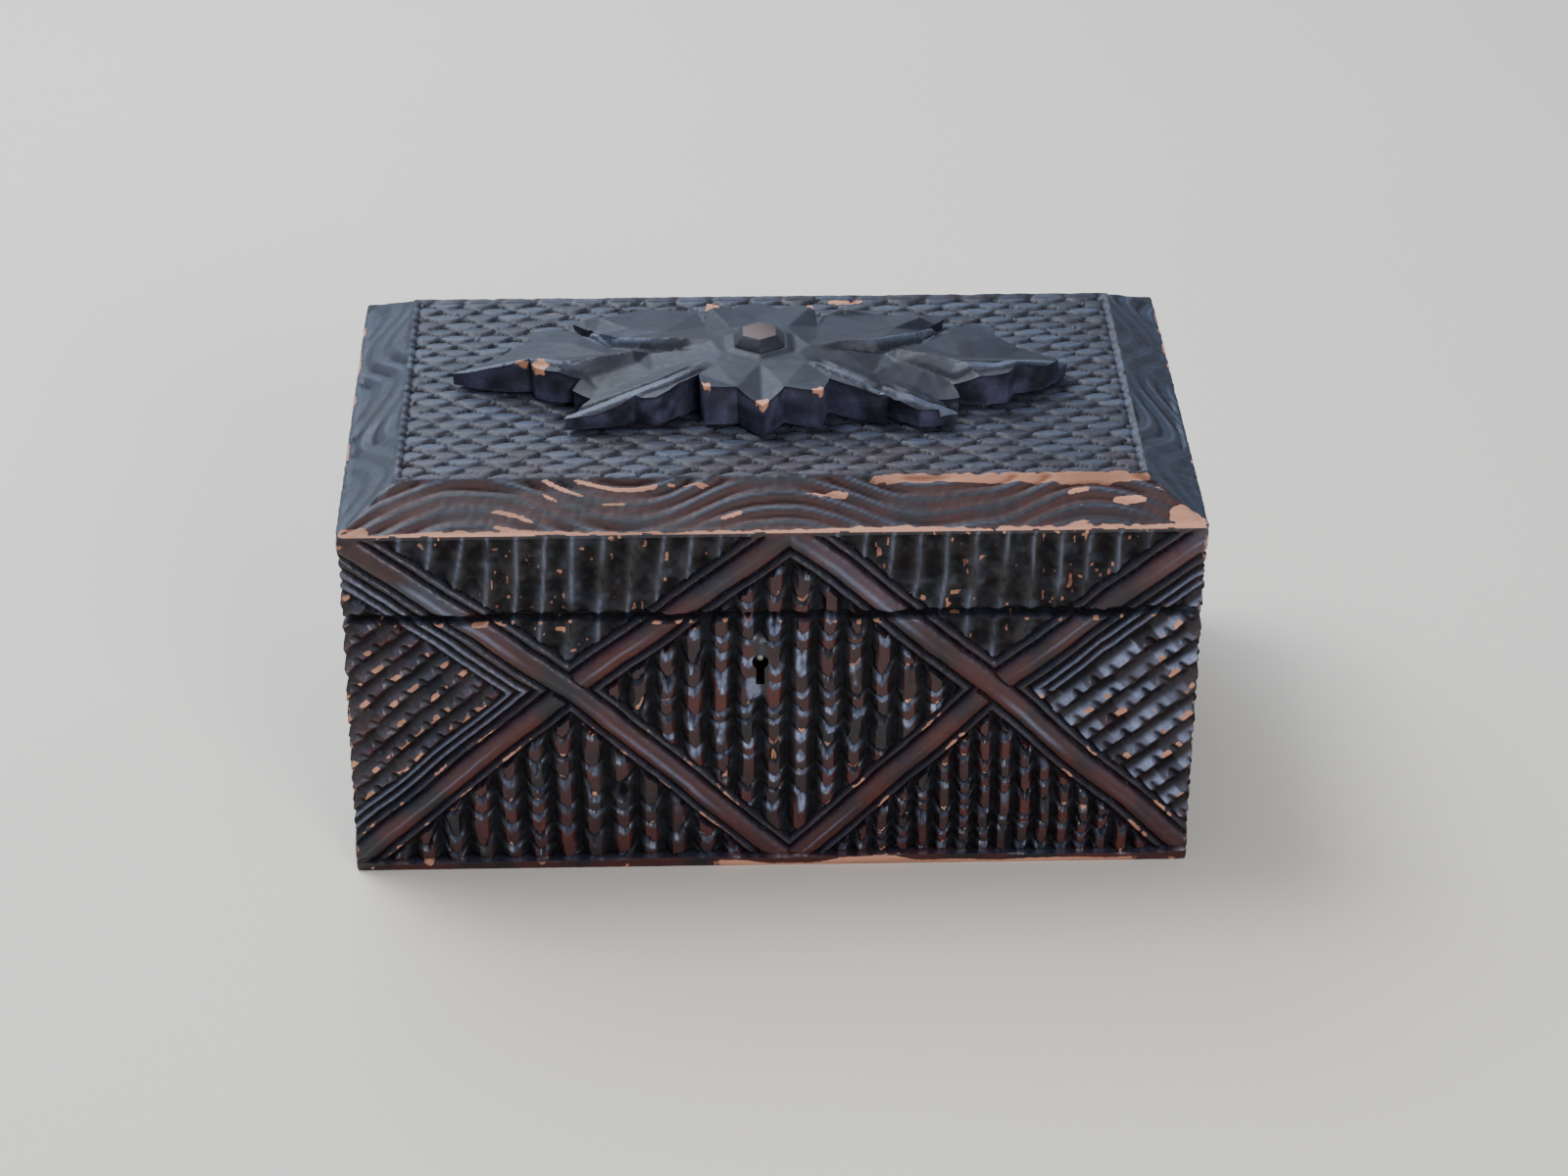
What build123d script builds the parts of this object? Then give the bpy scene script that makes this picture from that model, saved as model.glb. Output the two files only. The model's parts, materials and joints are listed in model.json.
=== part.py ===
from build123d import *
import math
import os

os.makedirs("parts", exist_ok=True)

# Carved puzzle box: hinged lid, turning leaf ornament over a key recess, and a small box lock.
# Origin at the centre of the underside, +X along the front to the right, +Y to the back, +Z up.

# ---------------------------------------------------------------- driving dimensions
BOX_WIDTH = 200.0
BOX_DEPTH = 119.0
SEAM = 70.0
SEAM_GAP = 0.4
RAIL_TOP = 92.0
LID_TOP = 100.0
BEVEL_INSET = 13.4
WALL = 10.0
FLOOR = 6.0
REBATE = 4.5
PLUG_DEPTH = 6.0

# Rear hinges: the pin lies inset from the back, and both rear edges are bevelled to stop the lid
HINGE_CENTRES = {"left": -62.0, "right": 62.0}
HINGE_WIDTH = 26.0
HINGE_INSET = 3.0
HINGE_PLATE = 1.2
KNUCKLE_COUNT = 5
KNUCKLE_GAP = 0.15
BARREL_RADIUS = 1.9
BARREL_GROOVE = 2.2
BARREL_CLEARANCE = 0.25
HINGE_PIN_RADIUS = 0.8
HINGE_PIN_HEAD = 1.2
HINGE_PIN_HEAD_LENGTH = 0.6
STOP_ANGLE = 51.0
STOP_REACH = 5.0
GROOVE_END_SPACE = 0.3
RUNNING_FIT = 0.05

# Turning ornament and its pivot peg
PIVOT_X = -1.8
PIVOT_Y = 0.0
LEAF_BOTTOM = 100.3
LEAF_TOP = 111.0
LEAF_FOOT_OVAL = (93.0, 42.2)
LEAF_TOP_OVAL = (47.0, 21.3)
BOSS_TOP = 113.6
BOSS_BASE_RADIUS = 7.0
BOSS_TOP_RADIUS = 4.6
PEG_RADIUS = 4.0
PEG_END = 81.8
PEG_CHAMFER = 0.6
WASHER_RADIUS = 9.0
WASHER_THICKNESS = 1.2
WASHER_GAP = 0.1
CROSS_PIN_RADIUS = 0.8
CROSS_PIN_LENGTH = 14.0
CROSS_PIN_CHAMFER = 0.3

# Recess under the ornament, and the key that lies in it
RECESS_X = 46.4
RECESS_Y = 2.0
RECESS_LENGTH = 34.5
RECESS_WIDTH = 12.6
RECESS_DEPTH = 4.6
KEY_AXIS_Z = 97.3
KEY_BOW_X = 35.6
KEY_TIP_X = 62.0
KEY_BOW_RADIUS = 5.2
KEY_SHANK_RADIUS = 1.6
KEY_BOW_HOLE = 3.2
KEY_BOW_THICKNESS = 2.0
KEY_BOW_ROUNDING = 0.6
KEY_BOW_LAP = 1.2
KEY_COLLAR_START = 2.4
KEY_COLLAR_LENGTH = 1.0
KEY_COLLAR_RADIUS = 1.8
KEY_BIT_SPAN = (55.5, 60.0)
KEY_BIT_REACH = 5.2
KEY_BIT_ROOT = 1.0
KEY_BIT_THICKNESS = 1.4
KEY_WARD_WIDTH = 1.0
KEY_WARD_DEPTH = 1.2
KEY_BORE_RADIUS = 0.8
KEY_BORE_DEPTH = 8.0

# Box lock behind the front board
LOCK_X = -3.0
KEYHOLE_Z = 57.4
KEYHOLE_RADIUS = 1.9
KEYHOLE_SLOT_WIDTH = 1.9
KEYHOLE_SLOT_END = 51.4
LOCK_PLATE = 1.0
LOCK_PLATE_HALF_WIDTH = 22.0
LOCK_PLATE_BOTTOM = 43.8
LOCK_DEPTH = 5.6
CAP_SHEET = 0.8
CAP_HALF_WIDTH = 17.0
CAP_BOTTOM = 46.0
BOLT_TRAVEL = 4.5
BOLT_BOTTOM = 60.4
BOLT_TOP = 63.6
FINGER_BOTTOM = 65.4
FINGER_TOP = 67.2
STUD_RADIUS = 0.6
STUD_OFFSETS = (-4.3, 8.6)
LOOP_OFFSETS = (-2.0, 12.0)
LOOP_THICKNESS = 1.6
LOOP_BOTTOM = 64.2
LINK_CENTRE = 5.0
LINK_HALF_WIDTH = 18.0
LINK_SCREW_INSET = 3.0
LOOP_DEPTH = 3.0
LOOP_WINDOW = 1.6
LOOP_FINGER_SPACE = 0.3
LOOP_SLOT_SPACE = 0.4
LOOP_FROM_CAP = 2.7
BOLT_FROM_PLATE = 1.7
BOLT_THICKNESS = 2.2
BOLT_RIGHT = 10.2
POST_STARTS = (-10.6, 3.4)
POST_WIDTH = 2.5
FINGER_LENGTH = 4.5
FINGER_THICKNESS = 1.0
TALON_HALF_WIDTH = 2.4
TALON_DEPTH = 1.6
STUD_LENGTH = 3.0
KEY_PIN_RADIUS = 0.7
KEY_PIN_LENGTH = 6.4
SPRING_STRIP = 0.3
SPRING_WIDTH = 2.0
SPRING_BOW = 0.6
SPRING_KNEES = (-12.0, -7.4, -6.2, -5.2)
LOCK_SCREW_OFFSET = 19.5
LOCK_SCREW_LOW = 4.0
LOCK_SCREW_HIGH = 6.0

# Small brass countersunk screws
SCREW_HEAD_RADIUS = 1.45
SCREW_SHANK_RADIUS = 0.75
SCREW_FIT = 0.05
SINK_ANGLE = 82.0
SCREW_POINT = 1.2
DRIVER_SLOT = 0.4
DRIVER_SLOT_DEPTH = 0.4
SINK_OVERRUN = 1.0
PILOT_SPACE = 0.1

HINGE_SCREW_LENGTH = 8.0
LOCK_SCREW_LENGTH = 5.0

# Brads that hold the bottom board up in its rebate
NAIL_RADIUS = 0.6
NAIL_LENGTH = 13.5
NAIL_HEAD_RADIUS = 1.1
NAIL_HEAD_LENGTH = 0.5
NAIL_FIT = 0.05
NAIL_RECESS = 0.1
NAIL_POINT = 1.0
NAIL_HOLE_SPACE = 0.5

# ---------------------------------------------------------------- derived places
BASE_TOP = SEAM - SEAM_GAP / 2
LID_BOTTOM = SEAM + SEAM_GAP / 2
PLUG_BOTTOM = RAIL_TOP - PLUG_DEPTH
HALF_WIDTH = BOX_WIDTH / 2
HALF_DEPTH = BOX_DEPTH / 2
INNER_HALF_DEPTH = HALF_DEPTH - WALL
HINGE_AXIS_Y = HALF_DEPTH - HINGE_INSET
KNUCKLE_PITCH = HINGE_WIDTH / KNUCKLE_COUNT
PLATE_END_Y = HINGE_AXIS_Y - BARREL_RADIUS - BARREL_CLEARANCE
LOCK_INNER_Y = -INNER_HALF_DEPTH
LOCK_PLATE_Y = LOCK_INNER_Y - LOCK_PLATE
LOCK_OUTER_Y = LOCK_INNER_Y - LOCK_DEPTH
LOOP_Y = LOCK_OUTER_Y + LOOP_FROM_CAP
BOLT_Y = LOCK_PLATE_Y - BOLT_FROM_PLATE
LIP_UNDERSIDE = BASE_TOP - LOCK_PLATE
LINK_X = LOCK_X + LINK_CENTRE
WASHER_TOP = PLUG_BOTTOM - WASHER_GAP
CROSS_PIN_Z = WASHER_TOP - WASHER_THICKNESS - CROSS_PIN_RADIUS - RUNNING_FIT
NAIL_INSET = WALL - REBATE / 2
nail_places = [(x, y * (HALF_DEPTH - NAIL_INSET)) for x in (-60, 0, 60) for y in (-1, 1)]
nail_places += [(x * (HALF_WIDTH - NAIL_INSET), y) for x in (-1, 1) for y in (-26, 26)]


def save(builder, name):
    """Label one finished piece and write its STEP file."""
    builder.part.label = name
    export_step(builder.part, f"parts/{name}.step")


def hinge_seam_face(sign):
    """Height of the wood next to the seam: sign is -1 below it and 1 above it."""
    return SEAM + sign * SEAM_GAP / 2


# ---------------------------------------------------------------- wooden case
def mitred_outline(side, height, outer_inset, inner_inset):
    """Plan shape of one mitred side between two rectangles inset from the outside of the box."""
    corners = {
        "front": ((-1, -1), (1, -1)),
        "back": ((1, 1), (-1, 1)),
        "left": ((-1, 1), (-1, -1)),
        "right": ((1, -1), (1, 1)),
    }
    (start_x, start_y), (end_x, end_y) = corners[side]
    with BuildSketch(Plane.XY.offset(height)) as outline:
        with BuildLine():
            Polyline(
                (start_x * (HALF_WIDTH - outer_inset), start_y * (HALF_DEPTH - outer_inset)),
                (end_x * (HALF_WIDTH - outer_inset), end_y * (HALF_DEPTH - outer_inset)),
                (end_x * (HALF_WIDTH - inner_inset), end_y * (HALF_DEPTH - inner_inset)),
                (start_x * (HALF_WIDTH - inner_inset), start_y * (HALF_DEPTH - inner_inset)),
                close=True,
            )
        make_face()
    return outline.sketch


def base_side(side):
    """A base board with the rebate for the bottom board along its lower inner edge."""
    extrude(mitred_outline(side, 0, 0, WALL), amount=BASE_TOP)
    extrude(mitred_outline(side, 0, WALL - REBATE, WALL), amount=FLOOR, mode=Mode.SUBTRACT)
    cut_nail_holes()


def lid_rail(side):
    """A lid rail, mitred like the board under it."""
    extrude(mitred_outline(side, LID_BOTTOM, 0, WALL), amount=RAIL_TOP - LID_BOTTOM)


def cut_stop_bevel(sign):
    """Bevel the rear edge next to the seam, through the hinge axis, so that the open lid rests on it."""
    with BuildSketch(Plane.YZ.offset(-HALF_WIDTH)) as bevel:
        with BuildLine():
            Polyline(
                (HINGE_AXIS_Y, SEAM),
                (HINGE_AXIS_Y + STOP_REACH, SEAM),
                (HINGE_AXIS_Y + STOP_REACH, SEAM + sign * STOP_REACH * math.tan(math.radians(STOP_ANGLE))),
                close=True,
            )
        make_face()
    extrude(bevel.sketch, amount=BOX_WIDTH, dir=(1, 0, 0), mode=Mode.SUBTRACT)


def hinge_screw_locations(sign):
    """Where the hinge screws' heads sit, pointing into the wood."""
    turn = 180 if sign > 0 else 0
    middle_y = (INNER_HALF_DEPTH + PLATE_END_Y) / 2
    return [
        Location((centre + step, middle_y, hinge_seam_face(sign)), (turn, 0, 0))
        for centre in HINGE_CENTRES.values()
        for step in (-HINGE_WIDTH * 0.3, HINGE_WIDTH * 0.3)
    ]


def cut_hinge_seats(sign):
    """Let both hinges into the wood: a flat seat for the plate and a round groove for the knuckles."""
    seat_depth = HINGE_AXIS_Y - INNER_HALF_DEPTH
    with BuildSketch(Plane.XY.offset(hinge_seam_face(sign))) as seats:
        with Locations(*[(x, INNER_HALF_DEPTH + seat_depth / 2) for x in HINGE_CENTRES.values()]):
            Rectangle(HINGE_WIDTH, seat_depth)
    extrude(seats.sketch, amount=HINGE_PLATE, dir=(0, 0, sign), mode=Mode.SUBTRACT)
    groove_length = HINGE_WIDTH + 2 * (HINGE_PIN_HEAD_LENGTH + GROOVE_END_SPACE)
    with Locations(*[Location((x, HINGE_AXIS_Y, SEAM), (0, 90, 0)) for x in HINGE_CENTRES.values()]):
        Cylinder(BARREL_GROOVE, groove_length, mode=Mode.SUBTRACT)
    with Locations(*hinge_screw_locations(sign)):
        Hole(SCREW_SHANK_RADIUS + SCREW_FIT, HINGE_SCREW_LENGTH + PILOT_SPACE)


def keyhole_outline(distance_y):
    """Keyhole on an upright plane at a given Y: a round eye with a straight slot below it."""
    with BuildSketch(Plane.XZ.offset(-distance_y)) as keyhole:
        with Locations((LOCK_X, KEYHOLE_Z)):
            Circle(KEYHOLE_RADIUS)
        with Locations((LOCK_X, (KEYHOLE_Z + KEYHOLE_SLOT_END) / 2)):
            Rectangle(KEYHOLE_SLOT_WIDTH, KEYHOLE_Z - KEYHOLE_SLOT_END)
    return keyhole.sketch


def cut_nail_holes():
    """Holes for the brads, through the bottom board and up into the sides."""
    with BuildSketch() as holes:
        with Locations(*nail_places):
            Circle(NAIL_RADIUS + NAIL_FIT)
    extrude(holes.sketch, amount=NAIL_LENGTH + NAIL_HOLE_SPACE, mode=Mode.SUBTRACT)


with BuildPart() as front_board:
    base_side("front")
    # Mortise for the lock: a shallow seat for its plate and lip, and a deep pocket for its works
    with BuildSketch(Plane.XZ.offset(-LOCK_INNER_Y)):
        with Locations((LOCK_X, (LOCK_PLATE_BOTTOM + BASE_TOP) / 2)):
            Rectangle(2 * LOCK_PLATE_HALF_WIDTH, BASE_TOP - LOCK_PLATE_BOTTOM)
    extrude(amount=LOCK_PLATE, mode=Mode.SUBTRACT)
    with BuildSketch(Plane.XZ.offset(-LOCK_PLATE_Y)):
        with Locations((LOCK_X, (CAP_BOTTOM + BASE_TOP) / 2)):
            Rectangle(2 * CAP_HALF_WIDTH, BASE_TOP - CAP_BOTTOM)
        with Locations((LOCK_X, BASE_TOP - LOCK_PLATE / 2)):
            Rectangle(2 * LOCK_PLATE_HALF_WIDTH, LOCK_PLATE)
    extrude(amount=LOCK_DEPTH - LOCK_PLATE, mode=Mode.SUBTRACT)
    extrude(keyhole_outline(LOCK_OUTER_Y), amount=HALF_DEPTH + LOCK_OUTER_Y, mode=Mode.SUBTRACT)
    lock_screw_places = [
        Location((LOCK_X + side * LOCK_SCREW_OFFSET, LOCK_INNER_Y, height), (-90, 0, 0))
        for side in (-1, 1)
        for height in (LOCK_PLATE_BOTTOM + LOCK_SCREW_LOW, BASE_TOP - LOCK_SCREW_HIGH)
    ]
    with Locations(*lock_screw_places):
        Hole(SCREW_SHANK_RADIUS + SCREW_FIT, LOCK_SCREW_LENGTH + PILOT_SPACE)
save(front_board, "front_board")

with BuildPart() as back_board:
    base_side("back")
    cut_stop_bevel(-1)
    cut_hinge_seats(-1)
save(back_board, "back_board")

for side in ("left", "right"):
    with BuildPart() as end_board:
        base_side(side)
        cut_stop_bevel(-1)
    save(end_board, f"{side}_board")

with BuildPart() as bottom_board:
    with BuildSketch():
        Rectangle(BOX_WIDTH - 2 * (WALL - REBATE), BOX_DEPTH - 2 * (WALL - REBATE))
    extrude(amount=FLOOR)
    cut_nail_holes()
    with BuildSketch():
        with Locations(*nail_places):
            Circle(NAIL_HEAD_RADIUS + NAIL_FIT)
    extrude(amount=NAIL_RECESS + NAIL_HEAD_LENGTH, mode=Mode.SUBTRACT)
save(bottom_board, "bottom_board")

with BuildPart() as bottom_nails:
    with BuildSketch(Plane.XY.offset(NAIL_RECESS)):
        with Locations(*nail_places):
            Circle(NAIL_HEAD_RADIUS)
    extrude(amount=NAIL_HEAD_LENGTH)
    with BuildSketch(Plane.XY.offset(NAIL_RECESS + NAIL_HEAD_LENGTH)):
        with Locations(*nail_places):
            Circle(NAIL_RADIUS)
    extrude(amount=NAIL_LENGTH - NAIL_HEAD_LENGTH - NAIL_POINT)
    with Locations(*[(x, y, NAIL_RECESS + NAIL_LENGTH - NAIL_POINT / 2) for x, y in nail_places]):
        Cone(NAIL_RADIUS, NAIL_RADIUS / 4, NAIL_POINT)
save(bottom_nails, "bottom_nails")

# ---------------------------------------------------------------- lid
link_screw_places = [
    Location((LINK_X + side * (LINK_HALF_WIDTH - LINK_SCREW_INSET), LOOP_Y, LID_BOTTOM), (180, 0, 0))
    for side in (-1, 1)
]

with BuildPart() as lid_front_rail:
    lid_rail("front")
    # Seat for the link plate, open to the inside of the rail
    with BuildSketch(Plane.XY.offset(LID_BOTTOM)):
        with Locations((LINK_X, (LOCK_OUTER_Y + LOCK_INNER_Y) / 2)):
            Rectangle(2 * LINK_HALF_WIDTH, LOCK_DEPTH)
    extrude(amount=LOCK_PLATE, mode=Mode.SUBTRACT)
    with Locations(*link_screw_places):
        Hole(SCREW_SHANK_RADIUS + SCREW_FIT, HINGE_SCREW_LENGTH + PILOT_SPACE)
save(lid_front_rail, "lid_front_rail")

with BuildPart() as lid_back_rail:
    lid_rail("back")
    cut_stop_bevel(1)
    cut_hinge_seats(1)
save(lid_back_rail, "lid_back_rail")

for side in ("left", "right"):
    with BuildPart() as end_rail:
        lid_rail(side)
        cut_stop_bevel(1)
    save(end_rail, f"lid_{side}_rail")

with BuildPart() as lid_top_board:
    with BuildSketch(Plane.XY.offset(RAIL_TOP)):
        Rectangle(BOX_WIDTH, BOX_DEPTH)
    with BuildSketch(Plane.XY.offset(LID_TOP)):
        Rectangle(BOX_WIDTH - 2 * BEVEL_INSET, BOX_DEPTH - 2 * BEVEL_INSET)
    loft(ruled=True)
    # Plug that locates the board inside the rails
    with BuildSketch(Plane.XY.offset(PLUG_BOTTOM)):
        Rectangle(BOX_WIDTH - 2 * WALL, BOX_DEPTH - 2 * WALL)
    extrude(amount=PLUG_DEPTH)
    with BuildSketch(Plane.XY.offset(LID_TOP)):
        with Locations((RECESS_X, RECESS_Y)):
            SlotOverall(RECESS_LENGTH, RECESS_WIDTH)
    extrude(amount=-RECESS_DEPTH, mode=Mode.SUBTRACT)
    with Locations((PIVOT_X, PIVOT_Y, LID_TOP)):
        Hole(PEG_RADIUS + RUNNING_FIT)
save(lid_top_board, "lid_top_board")

# ---------------------------------------------------------------- fasteners
def make_screw(length):
    """A countersunk wood screw with its head's face at the origin, pointing down."""
    head_height = (SCREW_HEAD_RADIUS - SCREW_SHANK_RADIUS) / math.tan(math.radians(SINK_ANGLE / 2))
    with BuildPart() as screw:
        with BuildSketch(Plane.XZ):
            with BuildLine():
                Polyline(
                    (0, -SCREW_FIT),
                    (SCREW_HEAD_RADIUS, -SCREW_FIT),
                    (SCREW_SHANK_RADIUS, -SCREW_FIT - head_height),
                    (SCREW_SHANK_RADIUS, SCREW_POINT - length),
                    (0, -length),
                    close=True,
                )
            make_face()
        revolve(axis=Axis.Z)
        with Locations((0, 0, -SCREW_FIT)):
            Box(3 * SCREW_HEAD_RADIUS, DRIVER_SLOT, 2 * DRIVER_SLOT_DEPTH, mode=Mode.SUBTRACT)
    return screw.part


def screw_group(places, length, name):
    """Identical screws in one node, one solid for each place."""
    pattern = make_screw(length)
    with BuildPart() as group:
        with Locations(*places):
            add(pattern)
    save(group, name)


screw_group(hinge_screw_locations(-1), HINGE_SCREW_LENGTH, "hinge_lower_screws")
screw_group(hinge_screw_locations(1), HINGE_SCREW_LENGTH, "hinge_upper_screws")
screw_group(lock_screw_places, LOCK_SCREW_LENGTH, "lock_screws")
screw_group(link_screw_places, HINGE_SCREW_LENGTH, "link_screws")

# ---------------------------------------------------------------- hinges
def hinge_leaf(centre, sign, knuckle_numbers, name):
    """A brass hinge leaf: a plate let into the wood and its share of the knuckles."""
    face = hinge_seam_face(sign)
    with BuildPart() as leaf:
        with BuildSketch(Plane.XY.offset(face)):
            with Locations((centre, (INNER_HALF_DEPTH + PLATE_END_Y) / 2)):
                Rectangle(HINGE_WIDTH, PLATE_END_Y - INNER_HALF_DEPTH)
        extrude(amount=sign * HINGE_PLATE)
        for number in knuckle_numbers:
            start = centre - HINGE_WIDTH / 2 + number * KNUCKLE_PITCH + KNUCKLE_GAP / 2
            with BuildSketch(Plane.YZ.offset(start)):
                with Locations((HINGE_AXIS_Y, SEAM)):
                    Circle(BARREL_RADIUS)
                with Locations(((PLATE_END_Y + HINGE_AXIS_Y) / 2, face + sign * HINGE_PLATE / 2)):
                    Rectangle(HINGE_AXIS_Y - PLATE_END_Y, HINGE_PLATE)
            extrude(amount=KNUCKLE_PITCH - KNUCKLE_GAP)
        with Locations(Location((centre, HINGE_AXIS_Y, SEAM), (0, 90, 0))):
            Cylinder(HINGE_PIN_RADIUS + RUNNING_FIT, HINGE_WIDTH + 2, mode=Mode.SUBTRACT)
        own_screws = [
            place
            for place in hinge_screw_locations(sign)
            if abs(place.position.X - centre) < HINGE_WIDTH / 2
        ]
        with Locations(*own_screws):
            CounterSinkHole(
                SCREW_SHANK_RADIUS + SCREW_FIT,
                SCREW_HEAD_RADIUS + SCREW_FIT,
                depth=HINGE_PLATE + SINK_OVERRUN,
                counter_sink_angle=SINK_ANGLE,
            )
    save(leaf, name)


for side, centre in HINGE_CENTRES.items():
    hinge_leaf(centre, -1, (0, 2, 4), f"hinge_lower_leaf_{side}")
    hinge_leaf(centre, 1, (1, 3), f"hinge_upper_leaf_{side}")
    with BuildPart() as hinge_pin:
        with Locations(Location((centre, HINGE_AXIS_Y, SEAM), (0, 90, 0))):
            Cylinder(HINGE_PIN_RADIUS, HINGE_WIDTH)
        head_x = (HINGE_WIDTH + HINGE_PIN_HEAD_LENGTH) / 2
        heads = [
            Location((centre + end * head_x, HINGE_AXIS_Y, SEAM), (0, 90, 0)) for end in (-1, 1)
        ]
        with Locations(*heads):
            Cylinder(HINGE_PIN_HEAD, HINGE_PIN_HEAD_LENGTH)
    save(hinge_pin, f"hinge_pin_{side}")

# ---------------------------------------------------------------- lock
with BuildPart() as lock_plate:
    with BuildSketch(Plane.XZ.offset(-LOCK_INNER_Y)):
        with Locations((LOCK_X, (LOCK_PLATE_BOTTOM + BASE_TOP) / 2)):
            Rectangle(2 * LOCK_PLATE_HALF_WIDTH, BASE_TOP - LOCK_PLATE_BOTTOM)
    extrude(amount=LOCK_PLATE)
    # Lip let into the top edge of the board, slotted for the link plate's loops
    with BuildSketch(Plane.XY.offset(BASE_TOP)):
        with Locations((LOCK_X, (LOCK_OUTER_Y + LOCK_PLATE_Y) / 2)):
            Rectangle(2 * LOCK_PLATE_HALF_WIDTH, LOCK_PLATE_Y - LOCK_OUTER_Y)
        with Locations(*[(LOCK_X + offset, LOOP_Y) for offset in LOOP_OFFSETS]):
            Rectangle(
                LOOP_THICKNESS + 2 * LOOP_SLOT_SPACE, LOOP_DEPTH + 2 * LOOP_SLOT_SPACE, mode=Mode.SUBTRACT
            )
    extrude(amount=-LOCK_PLATE)
    with Locations(*lock_screw_places):
        CounterSinkHole(
            SCREW_SHANK_RADIUS + SCREW_FIT,
            SCREW_HEAD_RADIUS + SCREW_FIT,
            depth=LOCK_PLATE + SINK_OVERRUN,
            counter_sink_angle=SINK_ANGLE,
        )
save(lock_plate, "lock_plate")

with BuildPart() as lock_cap:
    with BuildSketch(Plane.XZ.offset(-LOCK_PLATE_Y)):
        with Locations((LOCK_X, (CAP_BOTTOM + LIP_UNDERSIDE) / 2)):
            Rectangle(2 * CAP_HALF_WIDTH, LIP_UNDERSIDE - CAP_BOTTOM)
    extrude(amount=LOCK_DEPTH - LOCK_PLATE)
    with BuildSketch(Plane.XZ.offset(-LOCK_PLATE_Y)):
        with Locations((LOCK_X, (CAP_BOTTOM + CAP_SHEET + LIP_UNDERSIDE) / 2)):
            Rectangle(2 * (CAP_HALF_WIDTH - CAP_SHEET), LIP_UNDERSIDE - CAP_BOTTOM - CAP_SHEET)
    extrude(amount=LOCK_DEPTH - LOCK_PLATE - CAP_SHEET, mode=Mode.SUBTRACT)
    extrude(keyhole_outline(LOCK_OUTER_Y + CAP_SHEET), amount=CAP_SHEET, mode=Mode.SUBTRACT)
save(lock_cap, "lock_cap")

# Sliding bolt: a bar with two posts whose fingers pass through the loops
with BuildPart() as lock_bolt:
    with BuildSketch(Plane.XZ.offset(-BOLT_Y - BOLT_THICKNESS / 2)):
        with Locations((LOCK_X + (POST_STARTS[0] + BOLT_RIGHT) / 2, (BOLT_BOTTOM + BOLT_TOP) / 2)):
            Rectangle(BOLT_RIGHT - POST_STARTS[0], BOLT_TOP - BOLT_BOTTOM)
        with Locations(*[(LOCK_X + x + POST_WIDTH / 2, (BOLT_TOP + FINGER_TOP) / 2) for x in POST_STARTS]):
            Rectangle(POST_WIDTH, FINGER_TOP - BOLT_TOP)
        with Locations((LOCK_X, BOLT_BOTTOM + TALON_DEPTH / 2)):
            Rectangle(2 * TALON_HALF_WIDTH, TALON_DEPTH, mode=Mode.SUBTRACT)
        slot_places = [
            (LOCK_X + offset - BOLT_TRAVEL / 2, (BOLT_BOTTOM + BOLT_TOP) / 2) for offset in STUD_OFFSETS
        ]
        with Locations(*slot_places):
            SlotCenterToCenter(BOLT_TRAVEL, 2 * (STUD_RADIUS + RUNNING_FIT), mode=Mode.SUBTRACT)
    extrude(amount=BOLT_THICKNESS)
    with BuildSketch(Plane.XZ.offset(-BOLT_Y - FINGER_THICKNESS / 2)):
        finger_places = [
            (LOCK_X + x + POST_WIDTH + FINGER_LENGTH / 2, (FINGER_BOTTOM + FINGER_TOP) / 2)
            for x in POST_STARTS
        ]
        with Locations(*finger_places):
            Rectangle(FINGER_LENGTH, FINGER_TOP - FINGER_BOTTOM)
    extrude(amount=FINGER_THICKNESS)
save(lock_bolt, "lock_bolt")

with BuildPart() as lock_studs:
    with BuildSketch(Plane.XZ.offset(-LOCK_PLATE_Y)):
        with Locations(*[(LOCK_X + offset, (BOLT_BOTTOM + BOLT_TOP) / 2) for offset in STUD_OFFSETS]):
            Circle(STUD_RADIUS)
    extrude(amount=STUD_LENGTH)
save(lock_studs, "lock_studs")

with BuildPart() as lock_key_pin:
    with BuildSketch(Plane.XZ.offset(-LOCK_PLATE_Y)):
        with Locations((LOCK_X, KEYHOLE_Z)):
            Circle(KEY_PIN_RADIUS)
    extrude(amount=KEY_PIN_LENGTH)
save(lock_key_pin, "lock_key_pin")

# Bowed strip between the cap and the bolt that holds the bolt where it is put
cap_face = LOCK_OUTER_Y + CAP_SHEET + SPRING_STRIP / 2
with BuildPart() as lock_spring:
    with BuildSketch(Plane.XY.offset((BOLT_BOTTOM + BOLT_TOP - SPRING_WIDTH) / 2)):
        with BuildLine():
            Polyline(
                (LOCK_X - CAP_HALF_WIDTH + CAP_SHEET, cap_face),
                (LOCK_X + SPRING_KNEES[0], cap_face),
                (LOCK_X + SPRING_KNEES[1], cap_face + SPRING_BOW),
                (LOCK_X + SPRING_KNEES[2], cap_face + SPRING_BOW),
                (LOCK_X + SPRING_KNEES[3], cap_face + SPRING_BOW / 2),
            )
        trace(line_width=SPRING_STRIP)
    extrude(amount=SPRING_WIDTH)
save(lock_spring, "lock_spring")

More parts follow.
